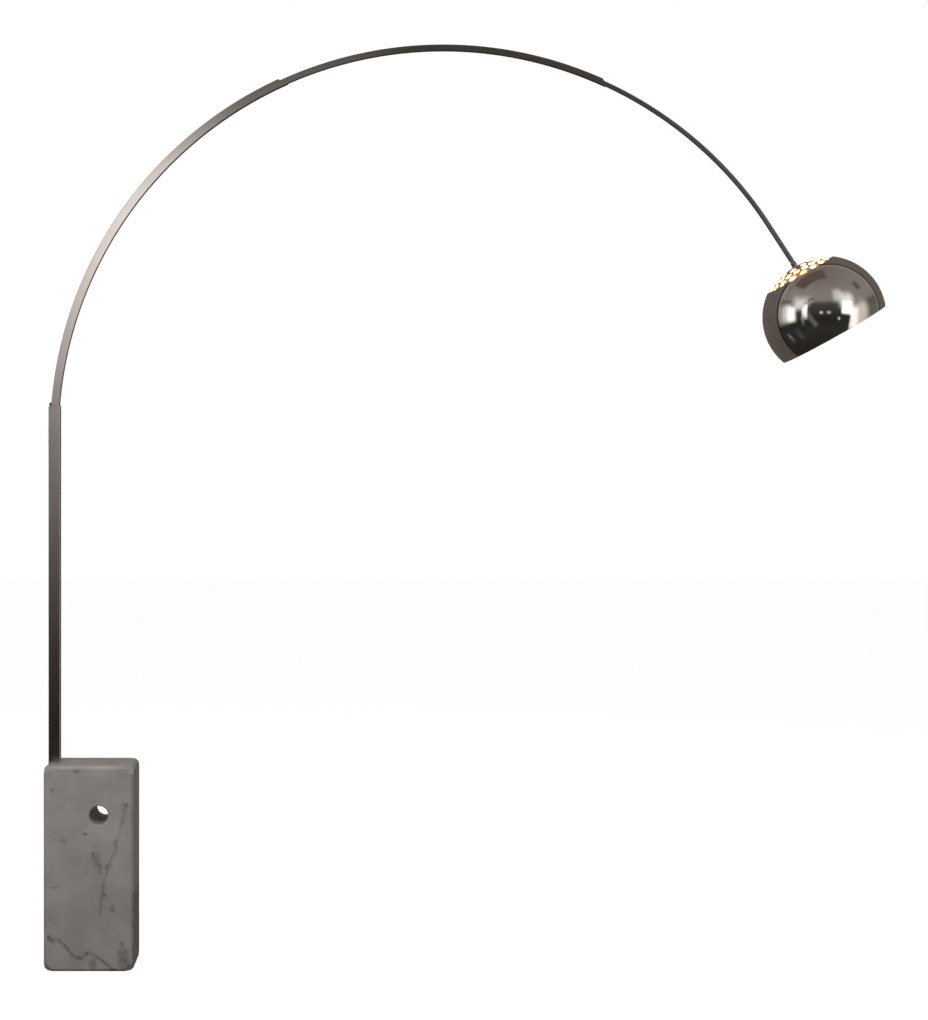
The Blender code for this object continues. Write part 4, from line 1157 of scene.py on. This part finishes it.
# The room beyond, by direction: azimuth from -Y towards +X, and elevation.
world = bpy.data.worlds.new("room")
bpy.context.scene.world = world
world.use_nodes = True
tree = world.node_tree
tree.nodes.clear()
look = add_node(tree, "ShaderNodeTexCoord").outputs["Generated"]
parts = axes(tree, look)
azimuth = math_node(tree, "ARCTAN2", parts[0], times(tree, parts[1], -1.0))
elevation = math_node(tree, "ARCSINE", parts[2])
FRONT = (
    (-1.00, (0.020, 0.017, 0.015)), (-0.50, (0.034, 0.031, 0.029)), (-0.14, (0.022, 0.020, 0.018)),
    (0.05, (0.044, 0.039, 0.035)), (0.30, (0.066, 0.060, 0.054)), (0.35, (0.110, 0.100, 0.092)),
    (0.43, (0.250, 0.230, 0.215)), (0.60, (0.262, 0.236, 0.218)), (0.80, (0.235, 0.205, 0.184)),
    (1.00, (0.205, 0.172, 0.150)))
ramp = add_node(tree, "ShaderNodeValToRGB", {0: span(tree, parts[2], -1.0, 1.0, smooth=False)})
for _ in FRONT[2:]:
    ramp.color_ramp.elements.new(0.5)
for step, (sine, colour) in zip(ramp.color_ramp.elements, FRONT):
    step.position = (sine + 1) / 2
    step.color = (*colour, 1)
front = ramp.outputs[0]
sideways = span(tree, size_of(tree, math_node(tree, "ADD", azimuth, 0.15)), 0.80, 1.45)
level_with = times(tree, span(tree, parts[2], -0.26, -0.04), span(tree, parts[2], 0.46, 0.20))
front = blend_colour(
    tree, times(tree, sideways, level_with), front, (0.150, 0.132, 0.118))

window_effect, window_in, window_out = new_effect(
    "Window",
    [("Azimuth", FLOAT, 0.0), ("Elevation", FLOAT, 0.0), ("Middle Azimuth", FLOAT, 0.0),
     ("Middle Elevation", FLOAT, 0.0), ("Turn", FLOAT, 0.0), ("Half Width", FLOAT, 0.1),
     ("Half Height", FLOAT, 0.1), ("Softness", FLOAT, 0.02)],
    [("Window", FLOAT)])
azimuth_in, elevation_in, middle_azimuth, middle_elevation, turn, half_width, half_height, softness = (
    window_in.outputs[:8])
aside = minus(window_effect, azimuth_in, middle_azimuth)
above = minus(window_effect, elevation_in, middle_elevation)
turn_cos = math_node(window_effect, "COSINE", turn)
turn_sin = math_node(window_effect, "SINE", turn)
across = times_plus(
    window_effect, aside, turn_cos, times(window_effect, above, turn_sin))
up = minus(
    window_effect, times(window_effect, above, turn_cos),
    times(window_effect, aside, turn_sin))
masks = []
for off, half in ((across, half_width), (up, half_height)):
    over = minus(window_effect, size_of(window_effect, off), half)
    over = math_node(window_effect, "DIVIDE", over, softness)
    masks.append(span(window_effect, over, 1.0, 0.0))
window_effect.links.new(times(window_effect, *masks), window_out.inputs["Window"])
# Middle azimuth and elevation, turn, half width and height, softness, all in degrees, and the light.
WINDOWS = (
    (-60, 24, 0, 12, 2, 13, (0.45, 0.44, 0.43)),
    (-60, 18, 0, 4, 2, 13, (0.84, 0.82, 0.80)),
    (-97, 3, 0, 4, 6, 13, (0.36, 0.34, 0.33)),
    (-87, 4, 0, 3, 6, 12, (0.90, 0.88, 0.86)),
    (-77, 2, 0, 3.5, 7, 9, (1.36, 1.34, 1.32)),
    (15, 34, 0, 3, 4, 13, (0.68, 0.67, 0.66)),
    (31, 24, 0, 5, 3, 17, (0.96, 0.95, 0.94)),
    (62, -4, 0, 2, 14, 20, (0.74, 0.67, 0.58)),
    (44, -6, 0, 3, 12, 12, (1.32, 1.26, 1.16)),
    (23, -17, 0, 11, 15, 3, (0.030, 0.027, 0.025)),
    (30, 11, 4, 8, 9, 5, (1.55, 1.55, 1.56)),
    (-38, -9, 54, 14, 1, 6, (0.135, 0.138, 0.140)),
    (-68, -33, 60, 8, 3, 5, (0.060, 0.060, 0.060)),
    (-92, -33, 60, 6, 0.8, 2.5, (0.20, 0.20, 0.19)),
    (-82, 55, 0, 8, 3, 9, (0.090, 0.074, 0.064)),
    (72, 44, 0, 6, 4, 4, (0.125, 0.110, 0.096)),
    (-19, 2, 0, 1.8, 1.4, 1.8, (0.66, 0.68, 0.62)),
    (-5, 2, 0, 2.2, 1.2, 2.2, (0.52, 0.54, 0.36)),
    (14, -9, 0, 1.0, 1.6, 1.4, (0.85, 0.83, 0.79)),
)
for middle_az, middle_el, turn, half_az, half_el, softness, light in WINDOWS:
    mask = use_effect(tree, window_effect, {
        "Azimuth": azimuth, "Elevation": elevation, "Middle Azimuth": math.radians(middle_az),
        "Middle Elevation": math.radians(middle_el), "Turn": math.radians(-turn),
        "Half Width": math.radians(half_az), "Half Height": math.radians(half_el),
        "Softness": math.radians(softness)})[0]
    front = blend_colour(tree, mask, front, light)
beam_x = span(tree, size_of(tree, math_node(tree, "ADD", parts[0], 0.32)), 0.37, 0.27)
beam_y = span(tree, size_of(tree, math_node(tree, "ADD", parts[1], 0.115)), 0.24, 0.17)
beam = times(
    tree, times(tree, beam_x, beam_y), span(tree, parts[2], 0.60, 0.70))
front = blend_colour(tree, beam, front, (0.115, 0.088, 0.074))
wall = blend_colour(
    tree, span(tree, parts[2], -0.5, 0.5), (0.104, 0.086, 0.074), (0.142, 0.118, 0.103))
trim = times(tree, span(tree, parts[1], 0.255, 0.275), span(tree, parts[2], -0.20, 0.05))
front = blend_colour(tree, times(tree, trim, 0.75), front, (0.40, 0.38, 0.36))
room = blend_colour(tree, span(tree, parts[1], 0.305, 0.322), front, (0.016, 0.013, 0.012))
room = blend_colour(tree, span(tree, parts[1], 0.372, 0.392), room, wall)
paths = add_node(tree, "ShaderNodeLightPath").outputs
backdrop = blend_colour(tree, paths["Is Glossy Ray"], (0.20, 0.195, 0.19), room)
backdrop = blend_colour(tree, paths["Is Camera Ray"], backdrop, (1, 1, 1))
sky = add_node(tree, "ShaderNodeBackground", {"Color": backdrop, "Strength": 1.0})
add_node(tree, "ShaderNodeOutputWorld", {"Surface": sky.outputs[0]})

SOFTBOXES = (
    ("key_softbox", (-0.4, -3.2, 3.0), 2.0, 60.0, (1.0, 0.985, 0.965)),
    ("top_softbox", (0.0, 0.4, 3.6), 1.2, 16.0, (1.0, 0.975, 0.945)),
)
for name, position, size, power, colour in SOFTBOXES:
    light = bpy.data.lights.new(name, "AREA")
    light.shape = "SQUARE"
    light.size = size
    light.energy = power
    light.color = colour
    lamp = bpy.data.objects.new(name, light)
    lamp.location = position
    lamp.rotation_euler = (Vector((0.0, 0.0, 0.3)) - lamp.location).to_track_quat("-Z", "Y").to_euler()
    lamp.visible_glossy = False
    bpy.context.scene.collection.objects.link(lamp)

camera_data = bpy.data.cameras.new("camera")
camera_data.lens = 69.7
camera_data.shift_x = 0.138
camera_data.clip_end = 200.0
camera = bpy.data.objects.new("camera", camera_data)
camera.location = (0.6287, -5.375, 1.235)
camera.rotation_euler = (math.pi / 2, 0.0, 0.0)
bpy.context.scene.collection.objects.link(camera)
bpy.context.scene.camera = camera
bpy.context.scene.view_settings.view_transform = "Standard"

low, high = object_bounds()
